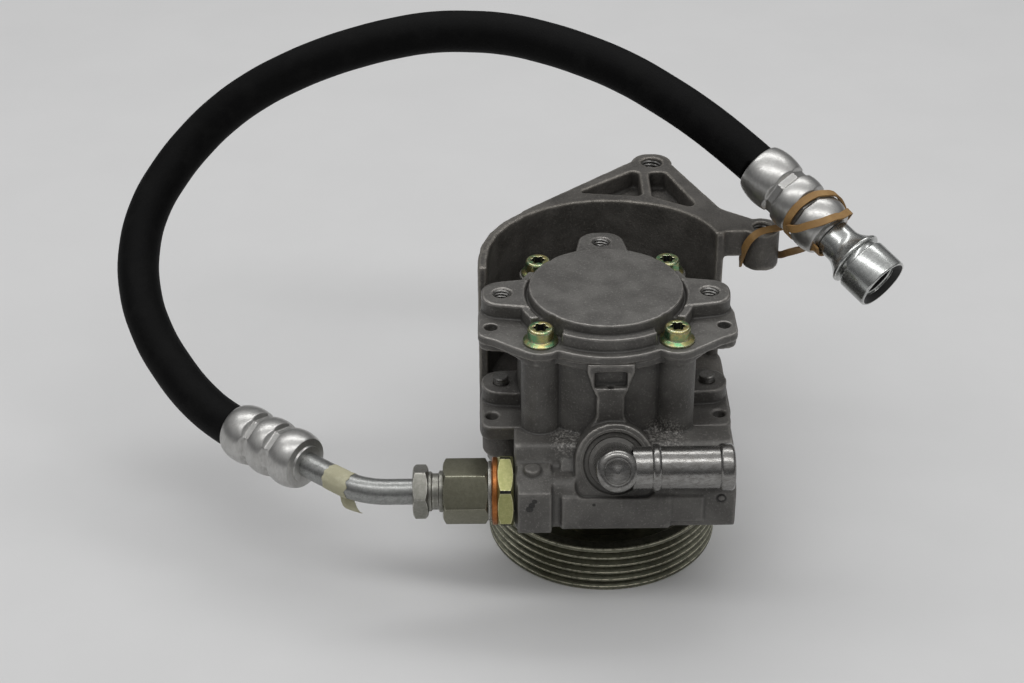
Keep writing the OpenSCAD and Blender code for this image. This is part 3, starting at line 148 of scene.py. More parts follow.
def stacked(bm, rings, segments=72):
    """Joins rings given as (radius, height), or as a function of the angle, from the first to the last."""
    def placed(verts, ring):
        for v in verts:
            angle = math.atan2(v.co.y, v.co.x)
            r, h = ring(angle) if callable(ring) else ring
            v.co = (r * MM * math.cos(angle), r * MM * math.sin(angle), h * MM)

    verts = bmesh.ops.create_circle(bm, segments=segments, radius=MM, cap_ends=False)["verts"]
    edges = list({e for v in verts for e in v.link_edges})
    placed(verts, rings[0])
    for ring in rings[1:]:
        edges, verts = extruded(bm, edges)
        placed(verts, ring)
    bmesh.ops.remove_doubles(bm, verts=bm.verts, dist=1e-7)


def closed(bm):
    """Turns every face outwards."""
    bmesh.ops.recalc_face_normals(bm, faces=bm.faces)


def softened(bm, offset, sharper_than=25, segments=2):
    """Bevels the sharp edges and marks the new faces as worn."""
    edge_and_hollow = bm.faces.layers.float.get("edge_and_hollow") or bm.faces.layers.float.new("edge_and_hollow")
    limit = math.radians(sharper_than)
    sharp = [e for e in bm.edges if len(e.link_faces) == 2 and e.calc_face_angle(0) > limit]
    made = bmesh.ops.bevel(bm, geom=sharp, offset=offset * MM, offset_type="OFFSET", segments=segments,
                           profile=0.5, affect="EDGES", clamp_overlap=True, material=-1)
    for face in made["faces"]:
        face[edge_and_hollow] = 1.0


def darkened(bm, inside):
    """Gives the second material to the faces whose middle passes the test, in millimetres."""
    for face in bm.faces:
        middle = face.calc_center_median() / MM
        face.material_index = int(inside(middle.xy.length, middle.z))


def pointing(place, direction):
    """The matrix that puts an upright shape at a place, along a direction."""
    return Matrix.Translation(place * MM) @ Matrix.Rotation(math.atan2(direction.y, direction.x), 4, "Z") \
        @ Matrix.Rotation(math.acos(direction.z), 4, "Y")


def piece(name, bm, finishes, body, replaces=(), smooth_below=32, place=None):
    """Makes an object of a bmesh: smooth shading, finishes, body and the nodes it stands for."""
    if place is not None:
        bmesh.ops.transform(bm, matrix=place, verts=bm.verts)
    mesh = bpy.data.meshes.new(name)
    bm.to_mesh(mesh)
    bm.free()
    mesh.shade_smooth()
    mesh.set_sharp_from_angle(angle=math.radians(smooth_below))
    for finish in finishes:
        mesh.materials.append(finish)
    made = bpy.data.objects.new(name, mesh)
    scene.collection.objects.link(made)
    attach(made, body)
    if replaces:
        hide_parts(*replaces)
    print(name, len(mesh.polygons), "faces")
    return made


# %% [markdown]
# ## Writing shaders as sums
# A finish is easier to read as arithmetic than as a drawing of nodes. One class wraps a socket, so that
# a sum or a product of masks adds its Math nodes by itself; another one holds a material and adds any other
# node, with its settings first and its sockets after them.

# %% Shader expressions
class Mask:
    """A number socket that can be added, multiplied and subtracted."""

    def __init__(self, finish, socket):
        self.finish, self.socket = finish, socket

    def joined(self, operation, first, second):
        return self.finish.node("ShaderNodeMath", {"operation": operation}, {0: first, 1: second})

    def __add__(self, other):
        return self.joined("ADD", self, other)

    def __sub__(self, other):
        return self.joined("SUBTRACT", self, other)

    def __rsub__(self, other):
        return self.joined("SUBTRACT", other, self)

    def __mul__(self, other):
        return self.joined("MULTIPLY", self, other)

    __radd__, __rmul__ = __add__, __mul__


class Finish:
    """A material with a Principled shader, and the nodes that feed it."""

    def __init__(self, name, tree_owner=None):
        self.material = tree_owner or bpy.data.materials.new(name)
        self.material.use_nodes = True
        self.nodes, self.links = self.material.node_tree.nodes, self.material.node_tree.links
        self.shader = self.nodes.get("Principled BSDF")

    def feed(self, socket, value):
        if isinstance(value, Mask):
            self.links.new(value.socket, socket)
        elif isinstance(value, tuple) and len(value) == 3 and socket.type == "RGBA":
            socket.default_value = (*value, 1)
        else:
            socket.default_value = value

    def node(self, kind, settings=None, inputs=None, output=0):
        made = self.nodes.new(kind)
        for key, value in (settings or {}).items():
            setattr(made, key, value)
        for key, value in (inputs or {}).items():
            self.feed(made.inputs[key], value)
        return Mask(self, made.outputs[output])

    def here(self, stretch=(1, 1, 1)):
        """The place on the piece, stretched along its axes."""
        place = self.node("ShaderNodeTexCoord", output="Object")
        return self.node("ShaderNodeMapping", None, {"Vector": place, "Scale": stretch})

    def blotches(self, size, detail=4.0, place=None, rough=0.55):
        """Noise whose spots are about that many millimetres across."""
        return self.node("ShaderNodeTexNoise", None, {
            "Vector": place or self.here(), "Scale": 1 / (size * MM), "Detail": detail, "Roughness": rough})

    def near(self, place, radius, core=0.45):
        """1 at a place in millimetres, falling to 0 from that core of the radius to the radius."""
        away = self.node("ShaderNodeVectorMath", {"operation": "DISTANCE"},
                         {0: self.here(), 1: [v * MM for v in place]}, output="Value")
        return 1 - self.between(away, core * radius * MM, radius * MM)

    def between(self, mask, low, high):
        """0 below low, 1 above high, smooth between them."""
        return self.node("ShaderNodeMapRange", {"interpolation_type": "SMOOTHSTEP"},
                         {"Value": mask, "From Min": low, "From Max": high})

    def mix(self, mask, first, second):
        """The first colour where the mask is 0, the second where it is 1."""
        return self.node("ShaderNodeMix", {"data_type": "RGBA"}, {0: mask, 6: first, 7: second}, output=2)

    def edge_and_hollow_level(self):
        return self.node("ShaderNodeAttribute", {"attribute_name": "edge_and_hollow"}, output="Fac")

    def bump(self, height, depth):
        return self.node("ShaderNodeBump", None, {"Height": height, "Distance": depth * MM})

    def done(self, sockets):
        for key, value in sockets.items():
            self.feed(self.shader.inputs[key], value)
        return self.material


# %% [markdown]
# ## Cast iron
# The housing, its cover and the bracket come out of sand moulds: dark, matte and finely grained, a little
# blotched by oil, and rubbed pale where an edge stands out, with a painted highlight on the higher edges. The
# edges and hollows are found on the mesh itself and stored as an attribute, so that the rubbed edges stay in
# place from every side; the hollows are darkened as painted shade. The low edges of the block are less pale
# than the high ones: this paling with height is a painted highlight, as if light from above caught the high
# edges. Two patches at the feet of the housing's columns kept the coarse grain of the sand, painted as pale
# glints and dark pits: painted highlight and painted shade on the grains. Each of the few dark marks is a
# place, a radius and the radius of a clean middle: oil stains, and one ring of painted shade for the groove of
# a small ringed recess in the block's front.

# %% Cast iron finishes
EDGE_HIGHLIGHT_WEAK_BELOW, EDGE_HIGHLIGHT_FULL_ABOVE = 58, 74


def times(colour, factor):
    return tuple(v * factor for v in colour)


def cast_iron(name, dark, pale, rubbed_and_highlight, roughness, grain_depth, rough_patches=(), stains_and_ring_shade=()):
    iron = Finish(name)
    stain = iron.between(iron.blotches(14), 0.36, 0.66)
    grain = iron.blotches(0.55, 3.0)
    speck = iron.between(iron.blotches(0.9, 5.0, rough=0.75), 0.53, 0.68)
    edge = iron.edge_and_hollow_level()
    height = iron.node("ShaderNodeSeparateXYZ", None, {"Vector": iron.here()}, output="Z")
    rub_and_highlight = iron.between(edge + (iron.blotches(3.0, 5.0) - 0.5) * 1.4, 0.3, 0.95)
    # Edges higher up are paler: a painted highlight, as if light from above caught them, on top of the rubbing.
    rub_and_highlight = rub_and_highlight * (0.35 + iron.between(height, EDGE_HIGHLIGHT_WEAK_BELOW * MM, EDGE_HIGHLIGHT_FULL_ABOVE * MM) * 0.65)
    # Hollows, where the attribute is below zero, are darkened: painted shade.
    hollow_shade = iron.between(0 - edge, 0.15, 0.8)
    colour = iron.mix(stain, dark, pale)
    colour = iron.mix(speck * 0.45, colour, rubbed_and_highlight)
    colour = iron.mix(iron.between(grain, 0.35, 0.7) * 0.3, colour, dark)
    colour = iron.mix(rub_and_highlight * 0.6, colour, rubbed_and_highlight)
    colour = iron.mix(hollow_shade * 0.6, colour, times(dark, 0.4))
    coarse = iron.blotches(0.9, 2.0, rough=0.75)
    glint, pit_shade = times(rubbed_and_highlight, 1.2), times(dark, 0.2)
    # The coarse grain is painted: the pale glints are painted highlight, the dark pits painted shade.
    for place, radius in rough_patches:
        patch = iron.near(place, radius) * 0.6
        colour = iron.mix(patch * iron.between(coarse, 0.5, 0.6), colour, glint)
        colour = iron.mix(patch * iron.between(0.9 - coarse, 0.46, 0.54), colour, pit_shade)
    for place, radius, hole in stains_and_ring_shade:
        mark = iron.near(place, radius, 0.7)
        mark = mark - mark * iron.near(place, hole, 0.7) if hole else mark
        colour = iron.mix(mark * 0.85, colour, times(dark, 0.15))
    skin = iron.bump(grain + iron.blotches(2.0, 4.0) * 1.5, grain_depth)
    return iron.done({"Base Color": colour, "Roughness": roughness - rub_and_highlight * 0.18 + (stain - 0.5) * 0.08,
                      "Metallic": 0.25 + rub_and_highlight * 0.45, "Normal": skin})


body_iron = cast_iron(
    "body_iron", dark=(0.083, 0.079, 0.073), pale=(0.132, 0.127, 0.118), rubbed_and_highlight=(0.33, 0.315, 0.295),
    roughness=0.51, grain_depth=0.12,
    rough_patches=[((22, -34, 64), 11), ((-16.5, -36, 64), 8)],
    # The ring at x 42.2 is painted shade, the dark groove of a small ringed recess; the other marks are oil
    # stains.
    stains_and_ring_shade=[((-6.2, -57.4, 50.2), 0.8, 0), ((42.2, -56, 51.3), 2.3, 1.5), ((-30.6, -59, 49.6), 1.7, 0),
            ((-29.7, -59, 51.4), 1.5, 0), ((-28.7, -59, 53.2), 1.2, 0)])
bracket_iron = cast_iron(
    "bracket_iron", dark=(0.071, 0.066, 0.059), pale=(0.124, 0.116, 0.105), rubbed_and_highlight=(0.3, 0.28, 0.25),
    roughness=0.54, grain_depth=0.2)
print("cast iron:", body_iron.name, bracket_iron.name)

# %% [markdown]
# ## Plated and bare metals
# The fasteners and fittings are zinc plated: yellow, dull olive or bright. Plating is never one colour, so
# each finish drifts between three tones, gets a fine grain and shows brighter metal on its edges.

# %% Metal finishes
def plated(name, tones, edge_tone, roughness, spot=1.6, grain=0.02, stretch=(1, 1, 1)):
    plate, uneven = Finish(name), 0.1
    place = plate.here(stretch)
    drift = plate.between(plate.blotches(spot, 3.0, place), 0.35, 0.65)
    film = plate.between(plate.blotches(spot * 0.4, 4.0, place), 0.45, 0.7)
    fine = plate.blotches(0.3, 3.0, place)
    colour = plate.mix(drift, tones[0], tones[1])
    colour = plate.mix(film * 0.6, colour, tones[2])
    edge = plate.edge_and_hollow_level() * plate.between(plate.blotches(1.2, 4.0), 0.3, 0.6)
    colour = plate.mix(edge * 0.85, colour, edge_tone)
    return plate.done({
        "Base Color": colour, "Metallic": 0.92, "Normal": plate.bump(fine, grain),
        "Roughness": roughness + (fine - 0.5) * uneven + (film - 0.5) * uneven - edge * 0.1})


yellow_zinc = plated("yellow_zinc", [(0.34, 0.34, 0.145), (0.4, 0.39, 0.18), (0.3, 0.32, 0.135)],
                     (0.6, 0.58, 0.36), roughness=0.46)
screw_zinc = plated("screw_zinc", [(0.42, 0.37, 0.15), (0.13, 0.29, 0.15), (0.38, 0.27, 0.13)],
                    (0.6, 0.58, 0.42), roughness=0.33, spot=4.0)
olive_zinc = plated("olive_zinc", [(0.2, 0.194, 0.142), (0.23, 0.224, 0.168), (0.175, 0.17, 0.124)],
                    (0.32, 0.315, 0.255), roughness=0.36, grain=0.008)
pulley_zinc = plated("pulley_zinc", [(0.16, 0.16, 0.122), (0.21, 0.21, 0.16), (0.11, 0.108, 0.082)],
                     (0.64, 0.62, 0.48), roughness=0.44, spot=4.0)
nut_zinc = plated("nut_zinc", [(0.235, 0.232, 0.205), (0.28, 0.275, 0.248), (0.2, 0.197, 0.17)],
                  (0.55, 0.54, 0.5), roughness=0.44, spot=1.4)
bright_zinc = plated("bright_zinc", [(0.42, 0.43, 0.42), (0.52, 0.53, 0.52), (0.34, 0.35, 0.33)],
                     (0.75, 0.75, 0.73), roughness=0.26, spot=1.2, grain=0.01)
tube_zinc = plated("tube_zinc", [(0.265, 0.269, 0.26), (0.34, 0.344, 0.335), (0.21, 0.213, 0.205)],
                   (0.7, 0.7, 0.7), roughness=0.36, spot=1.2, grain=0.03)
sleeve_metal = plated("sleeve_metal", [(0.46, 0.455, 0.44), (0.52, 0.515, 0.5), (0.4, 0.395, 0.38)],
                      (0.78, 0.78, 0.76), roughness=0.36, spot=2.0, stretch=(1, 1, 0.4))
bare_steel = plated("bare_steel", [(0.22, 0.215, 0.205), (0.3, 0.295, 0.285), (0.14, 0.13, 0.12)],
                    (0.5, 0.49, 0.47), roughness=0.25, spot=1.1, grain=0.025, stretch=(0.35, 1, 1))
tapped_steel = plated("tapped_steel", [(0.22, 0.215, 0.205), (0.28, 0.275, 0.265), (0.16, 0.155, 0.145)],
                      (0.5, 0.49, 0.47), roughness=0.4)
copper = plated("copper", [(0.36, 0.125, 0.035), (0.43, 0.17, 0.055), (0.26, 0.1, 0.035)],
                (0.5, 0.26, 0.11), roughness=0.42)
ground_steel = plated("ground_steel", [(0.4, 0.41, 0.42), (0.46, 0.47, 0.48), (0.34, 0.35, 0.36)],
                      (0.6, 0.6, 0.6), roughness=0.28)
bronze = plated("bronze", [(0.38, 0.25, 0.09), (0.44, 0.3, 0.12), (0.3, 0.2, 0.08)],
                (0.55, 0.4, 0.2), roughness=0.36)
print("metals ready")

# %% [markdown]
# ## Rubber, paper and shade
# The hose's cover is black and slightly wrinkled, the band is dusty tan and the tape is cream paper with a
# fine crepe. The insides of sockets and bores are painted nearly black, for their oil and as painted shade.

# %% Soft finishes
def matte(name, dark, pale, spot, roughness, crepe, crepe_depth, shine=0.5):
    cover = Finish(name)
    drift = cover.between(cover.blotches(spot, 5.0, rough=0.65), 0.42, 0.72)
    skin = cover.bump(cover.blotches(crepe, 4.0), crepe_depth)
    return cover.done({"Base Color": cover.mix(drift, dark, pale), "Roughness": roughness + drift * 0.1,
                       "Specular IOR Level": shine, "Normal": skin})


hose_cover = matte("hose_cover", (0.003, 0.003, 0.0031), (0.0065, 0.0065, 0.0065), spot=9.0, roughness=0.6,
                   crepe=0.8, crepe_depth=0.14, shine=0.08)
band_rubber = matte("band_rubber", (0.29, 0.165, 0.058), (0.37, 0.225, 0.088), spot=5.0, roughness=0.62,
                    crepe=1.2, crepe_depth=0.1, shine=0.35)
tape_paper = matte("tape_paper", (0.42, 0.4, 0.275), (0.51, 0.49, 0.35), spot=4.0, roughness=0.8,
                   crepe=0.5, crepe_depth=0.15)
oily_shade = matte("oily_shade", (0.006, 0.006, 0.006), (0.014, 0.013, 0.012), spot=2.0, roughness=0.5,
                   crepe=1.0, crepe_depth=0.1, shine=0.3)
print("soft finishes ready")

# %% [markdown]
# ## The castings
# A sand casting has no sharp edge anywhere. Bevelling every edge of a solid with many cuts is fragile, so
# a copy of the solid is rebuilt as an even skin of small squares, smoothed, and thinned where it is flat.
# Before the thinning, the shift under more smoothing tells ridges from hollows.

# %% Casting copies
def smoothed(bm, rounds):
    for _ in range(rounds):
        bmesh.ops.smooth_vert(bm, verts=bm.verts, factor=0.5, use_axis_x=True, use_axis_y=True, use_axis_z=True)


def ridges_and_hollows(bm, rounds, full):
    """How far each vertex stands out of its neighbourhood, from -1 in hollows to 1 on ridges."""
    before = [v.co.copy() for v in bm.verts]
    smoothed(bm, rounds)
    stand = []
    for v, old in zip(bm.verts, before):
        stand.append(max(-1.0, min(1.0, (old - v.co).dot(v.normal) / (full * MM))))
        v.co = old
    return stand


def casting(node, name, finish, square, rounds, unevenness, triangles):
    """Puts a soft, slightly uneven skin that knows its ridges and hollows in the place of a node."""
    copy = frame["nodes"][node].data.copy()
    bm = bmesh.new()
    bm.from_mesh(copy)
    bmesh.ops.remove_doubles(bm, verts=bm.verts, dist=1e-6)
    bm.to_mesh(copy)
    bm.free()
    form = bpy.data.objects.new(name, copy)
    scene.collection.objects.link(form)
    skin = form.modifiers.new("skin", "REMESH")
    skin.mode, skin.voxel_size = "VOXEL", square * MM
    even = bpy.data.meshes.new_from_object(form.evaluated_get(bpy.context.evaluated_depsgraph_get()))
    form.modifiers.clear()
    bm = bmesh.new()
    bm.from_mesh(even)
    smoothed(bm, rounds)
    bm.normal_update()
    stand = ridges_and_hollows(bm, 10, 0.3 * square)
    places = kdtree.KDTree(len(bm.verts))
    for v in bm.verts:
        v.co += v.normal * noise.noise(v.co * (1 / (5 * MM))) * unevenness * MM
        places.insert(v.co, v.index)
    places.balance()
    bm.to_mesh(even)
    bm.free()
    form.data = even
    thin = form.modifiers.new("thin", "DECIMATE")
    thin.ratio = min(1.0, triangles / (2 * len(even.polygons)))
    thinned = bpy.data.meshes.new_from_object(form.evaluated_get(bpy.context.evaluated_depsgraph_get()))
    form.modifiers.clear()
    form.data = thinned
    # The attribute is above zero on ridges, for the rubbed edges, and below zero in hollows, for painted shade.
    edge_and_hollow = thinned.attributes.new("edge_and_hollow", "FLOAT", "POINT")
    edge_and_hollow.data.foreach_set("value", [stand[places.find(v.co)[1]] for v in thinned.vertices])
    thinned.shade_smooth()
    thinned.materials.clear()
    thinned.materials.append(finish)
    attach(form, "pump")
    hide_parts(node)
    print(name, len(even.polygons), "squares,", len(thinned.polygons), "triangles")


casting("housing", "housing_casting", body_iron,
        square=0.46, rounds=4, unevenness=0.05, triangles=190000)
casting("rear_cover", "cover_casting", body_iron,
        square=0.42, rounds=4, unevenness=0.04, triangles=150000)
casting("bracket", "bracket_casting", bracket_iron,
        square=0.6, rounds=5, unevenness=0.09, triangles=160000)

# %% [markdown]
# ## Screw threads
# The tapped holes show a few turns of thread. A thread is one notch of its outline, spun and lifted at the
# same time: the spin operator lifts by its dvec at every step.

# %% Threads
def thread(bm, place, crest, root, low, high, pitch, steps=40):
    """Winds a thread about an upright axis, between two heights."""
    turns = int((high - low) / pitch)
    outline = [(root, 0), (crest, 0.42 * pitch), (crest, 0.58 * pitch), (root, pitch)]
    before = set(bm.verts)
    start = [bm.verts.new((r * MM, 0, (low + h) * MM)) for r, h in outline]
    edges = [bm.edges.new(pair) for pair in zip(start, start[1:])]
    bmesh.ops.spin(bm, geom=start + edges, cent=(0, 0, 0), axis=(0, 0, 1), dvec=(0, 0, pitch * MM / steps),
                   angle=2 * math.pi * turns, steps=steps * turns)
    made = [v for v in bm.verts if v not in before]
    bmesh.ops.translate(bm, verts=made, vec=Vector((*place, 0)) * MM)
    bmesh.ops.remove_doubles(bm, verts=made, dist=1e-7)


LUG_AT, BOLT_AT = 40.3, 41
ARM_HOLE, EAR = (24.4, 99.3), (64.9, 40.9)
holes = bmesh.new()
for lug in ((-LUG_AT, 0), (LUG_AT, 0), (0, LUG_AT)):
    thread(holes, lug, crest=3.0, root=3.5, low=102.9, high=109.6, pitch=1.25)
piece("lug_threads", holes, [tapped_steel], "pump")
taps = bmesh.new()
thread(taps, ARM_HOLE, crest=3.8, root=4.35, low=96.5, high=115.4, pitch=1.5)
thread(taps, EAR, crest=3.0, root=3.5, low=99.5, high=115.4, pitch=1.25)
piece("bracket_threads", taps, [tapped_steel], "pump")
ends = bmesh.new()
for x in (-BOLT_AT, BOLT_AT):
    thread(ends, (x, 0), crest=3.05, root=2.6, low=68.0, high=71.4, pitch=1.0)
piece("bolt_end_threads", ends, [tapped_steel], "pump")

# %% [markdown]
# ## Cover screws
# Each of the four screws is a flanged cap with a six lobed socket. The cap is turned, its inner ring is
# pushed into lobes, and that ring is then extruded down to make the socket. One screw is made at the origin
# and then copied to the four corners.

# %% Cover screws
SEAT, SCREW_AT, CAP_H, SOCKET_R, SOCKET_DEPTH = 103.8, 25.8, 6.2, 2.75, 3.2
screws = bmesh.new()
turned(screws, [(3.0, -24), (3.0, 0), (6.75, 0), (6.75, 0.8), (5.6, 1.5), (5.05, 1.95), (5.0, 5.5),
                (4.4, CAP_H), (SOCKET_R, CAP_H)], 72)
rim = [v for v in screws.verts if abs(v.co.z - CAP_H * MM) < 1e-6 and v.co.xy.length < (SOCKET_R + 0.1) * MM]
for v in rim:
    v.co.xy *= 0.93 + 0.14 * math.cos(6 * math.atan2(v.co.y, v.co.x))
_, socket_floor = extruded(screws, [e for e in screws.edges if all(v in rim for v in e.verts)])
bmesh.ops.translate(screws, verts=socket_floor, vec=(0, 0, -SOCKET_DEPTH * MM))
bmesh.ops.holes_fill(screws, edges=screws.edges, sides=0)
closed(screws)
softened(screws, 0.22, 28)
# The socket's walls get the nearly black finish: painted shade inside the socket.
darkened(screws, lambda r, z: r < SOCKET_R + 0.1 and 2.5 < z < CAP_H - 0.5)
model = list(screws.verts) + list(screws.edges) + list(screws.faces)
for sx, sy in ((-1, -1), (-1, 1), (1, -1)):
    copied = bmesh.ops.duplicate(screws, geom=model)["geom"]
    bmesh.ops.translate(screws, verts=[g for g in copied if isinstance(g, bmesh.types.BMVert)],
                        vec=Vector((sx, sy, 0)) * SCREW_AT * MM - Vector((1, 1, 0)) * SCREW_AT * MM)
piece("cover_screws", screws, [screw_zinc, oily_shade], "pump", ["cover_bolts"],
      place=Matrix.Translation(Vector((SCREW_AT, SCREW_AT, SEAT)) * MM))

# %% [markdown]
# ## Pulley
# The pulley is one turned ring: a rim with five V grooves, bent into a web. Its sharp crests are bevelled a
# little, and the bevel's faces carry the bright rubbed look that a belt leaves.

# %% Pulley
RIM_R, GROOVE, PITCH, FIRST = 46.5, 2.8, 3.56, 1.35
rim_outline = [(8, 6.5), (39.3, 6.5), (40.7, 5.9), (41.3, 4.5), (41.3, 0.4), (41.7, 0), (46.1, 0), (RIM_R, 0.4)]
for k in range(5):
    z = FIRST + k * PITCH
    rim_outline += [(RIM_R, z + 0.42), (RIM_R - GROOVE, z + PITCH / 2 - 0.4),
                    (RIM_R - GROOVE, z + PITCH / 2 + 0.4), (RIM_R, z + PITCH - 0.42)]
rim_outline += [(RIM_R, 20.1), (46.1, 20.5), (41.7, 20.5), (41.3, 20.1), (41.3, 11.5), (40.7, 10.1),
                (39.3, 9.5), (8, 9.5), (8, 6.5)]
sheave = bmesh.new()
turned(sheave, rim_outline, 192)
closed(sheave)
softened(sheave, 0.2, 24)
piece("pulley_rim", sheave, [pulley_zinc], "shaft", ["pulley"])

# %% [markdown]
# ## Suction elbow
# A domed steel plug sits in the slanted boss, and the pipe is brazed into its side. Both are turned; the
# dome's end has a sunken disc, and the pipe has two beads and a thin wall. A thin turned ring gives the
# boss's machined spot face the sharp edges that the casting's soft skin can't have. The plug's low collar
# is as dull as the boss round it, so it takes the casting's finish.

# %% Suction elbow
BOSS_FACE, BOSS_SLANT, PIPE_AT = Vector((1.9, -49.4, 63.6)), math.radians(64), 10.5
slant = Matrix.Translation(BOSS_FACE * MM) @ Matrix.Rotation(BOSS_SLANT, 4, "X")
elbow = bmesh.new()
dome = [(5.4 + 2.8 * math.cos(math.radians(a)), 16 + 3 * math.sin(math.radians(a))) for a in range(0, 90, 9)]
turned(elbow, [(6.9, -3), (8.2, -3), (8.2, -1.2), (9.9, -1.2), (9.9, -0.4), (8.2, 0.2)] + dome
       + [(5.3, 19), (4.9, 18.85), (4.65, 18.3), (4.2, 18.2), (1.5, 18.25), (1.2, 18.1), (0.9, 18.1),
          (0.5, 18.2), (0, 18.2)])
pipe = turned(elbow, [
    (6.8, 6), (8, 6), (8, 13), (8.3, 13.2), (8.8, 13.8), (8.9, 14.3), (8.9, 15.1), (8.8, 15.6), (8.3, 16.2),
    (8, 16.4), (8, 38.2), (8.3, 38.4), (8.8, 39), (8.9, 39.3), (8.9, 42.5), (8.75, 43), (8.1, 43.7),
    (7.5, 43.8), (6.9, 43.6), (6.8, 43), (6.8, 6)])
bmesh.ops.transform(elbow, verts=pipe,
                    matrix=Matrix.Translation((0, 0, PIPE_AT * MM)) @ Matrix.Rotation(math.pi / 2, 4, "Y"))
closed(elbow)
darkened(elbow, lambda r, z: r > 8.25 and z < 0.25)
piece("suction_bend", elbow, [bare_steel, body_iron], "pump", ["suction_elbow"], 40, slant)
face_ring = bmesh.new()
turned(face_ring, [(13.4, -0.15), (13.2, 0.04), (12.3, 0.06), (12.05, -0.12), (12.05, -1.05), (11.85, -1.14),
                   (10.2, -1.14), (10.0, -1.3)])
closed(face_ring)
softened(face_ring, 0.1, 20, 1)
piece("spot_face", face_ring, [body_iron], "pump", place=slant)

# %% [markdown]
# ## Outlet fittings
# From the block outwards: a wide hexagon, a copper ring, a long hexagon with a collar and neck, and a small
# nut. A machined hexagon has its corners turned off, which draws the curved line on each flat. The ring
# stack gets that line by letting a corner's height depend on its radius. Each hexagon stopped at its own
# turn when it was tightened, and the widest one has dull corners from the wrench.

# %% Outlet fittings
LINE_Y, LINE_Z = -46, 49


def outlet(x, turn=0.0):
    """The matrix of the outlet's axis, which runs to -X from that place, with a turn in degrees about it."""
    axes = Matrix(((0, 0, -1), (0, 1, 0), (1, 0, 0))).to_4x4()
    return Matrix.Translation(Vector((x, LINE_Y, LINE_Z)) * MM) @ axes \
        @ Matrix.Rotation(math.radians(turn), 4, "Z")


def hexagon_piece(name, finishes, node, place, flats, low, high, bore, dull_corners=0.0):
    """Makes a bored hexagon with turned corners, of a width over its flats, between two heights."""
    half, lead = flats / 2, 0.6

    def radius(angle):
        return half / math.cos(math.remainder(angle - math.pi / 6, math.pi / 3))

    def drop(angle):
        return (radius(angle) - half * 0.985) * lead

    def at_corner(v):
        off = math.remainder(math.atan2(v.co.y, v.co.x), math.pi / 3)
        return v.co.xy.length > 1.1 * half * MM and abs(off) < 0.01

    bm = bmesh.new()
    stacked(bm, [(bore, low), (half * 0.97, low), lambda a: (radius(a), low + drop(a)),
                 lambda a: (radius(a), high - drop(a)), (half * 0.97, high), (bore, high), (bore, low)])
    closed(bm)
    if dull_corners:
        corners = [e for e in bm.edges if all(at_corner(v) for v in e.verts)]
        made = bmesh.ops.bevel(bm, geom=corners, offset=dull_corners * MM, offset_type="OFFSET", segments=1,
                               profile=0.5, affect="EDGES", clamp_overlap=True, material=-1)
        for face in made["faces"]:
            face.material_index = 1
    softened(bm, 0.2, 22)
    piece(name, bm, finishes, "pump", [node], 30, place)


hexagon_piece("union_hexagon", [yellow_zinc, oily_shade], "outlet_union", outlet(-36.6, 3.7),
              flats=26, low=0, high=6.1, bore=4, dull_corners=0.7)
hexagon_piece("adapter_hexagon", [olive_zinc], "outlet_adapter", outlet(-44.7, -28),
              flats=22, low=1.5, high=18.8, bore=5.2)
hexagon_piece("tube_nut_hexagon", [nut_zinc], "tube_nut", outlet(-69.2, -12.5),
              flats=18.5, low=0, high=5.8, bore=5.05)
washer = bmesh.new()
turned(washer, [(6.3, 0), (12.7, 0), (13, 0.4), (13, 1.6), (12.7, 2), (6.3, 2), (6.3, 0)])
closed(washer)
piece("copper_ring", washer, [copper], "pump", ["copper_washer"], 30, outlet(-42.7))
turnings = bmesh.new()
turned(turnings, [(5.2, 0), (11.3, 0), (11.5, 0.3), (11.5, 1.2), (11.3, 1.6), (5.2, 1.6)])
turned(turnings, [(5.2, 18.6), (8, 18.6), (8, 20.2), (7, 20.6), (7, 22.6), (7.2, 23), (7.7, 23.4), (7.7, 24.3),
                  (7.5, 24.5), (5.2, 24.5)])
closed(turnings)
softened(turnings, 0.15, 22)
piece("adapter_turnings", turnings, [nut_zinc], "pump", place=outlet(-44.7))

# %% [markdown]
# ## Steel tube
# The tube leaves the nut, bends by 40 degrees and runs into the near crimp sleeve. A curve with a bevel
# would do as well; here a circle is extruded, spun about the bend's centre and extruded again, which keeps
# the bend a true arc.

# %% Tube
TUBE_R, TUBE_FROM, STRAIGHT_L, BEND_R, BEND_X = 5, -60, 31, 28, -84.69
bend_centre = Vector((BEND_X, LINE_Y + BEND_R, LINE_Z))
tube = bmesh.new()
ring = bmesh.ops.create_circle(tube, segments=48, radius=TUBE_R * MM, cap_ends=False)["verts"]
bmesh.ops.transform(tube, verts=ring, matrix=outlet(TUBE_FROM))
loop, front = extruded(tube, list({e for v in ring for e in v.link_edges}))
bmesh.ops.translate(tube, verts=front, vec=Vector((BEND_X - TUBE_FROM, 0, 0)) * MM)
bent = bmesh.ops.spin(tube, geom=loop + front, cent=bend_centre * MM, axis=(0, 0, 1), dvec=(0, 0, 0),
                      angle=-BEND, steps=16)["geom_last"]
_, front = extruded(tube, [g for g in bent if isinstance(g, bmesh.types.BMEdge)])
bmesh.ops.translate(tube, verts=front, vec=near_dir * STRAIGHT_L * MM)
bmesh.ops.remove_doubles(tube, verts=tube.verts, dist=1e-7)
closed(tube)
piece("steel_tube", tube, [tube_zinc], "pump", ["pressure_tube"])

# %% [markdown]
# ## Paper tape
# A strip of paper tape is wound round the tube where its bend ends. Cloth simulation would be too much for
# so stiff a scrap. The strip is spun a little more than once about Z, its edges are torn with noise, a loose
# tail is extruded beside it, and all of it is then laid along the tube's line and given a thickness.

# %% Tape
TAPE_FROM, TAPE_ROWS, TAPE_ROW, TAPE_R, TAPE_T = -4.8, 13, 0.9, 5.15, 0.18
TAPE_TURN = math.radians(395)


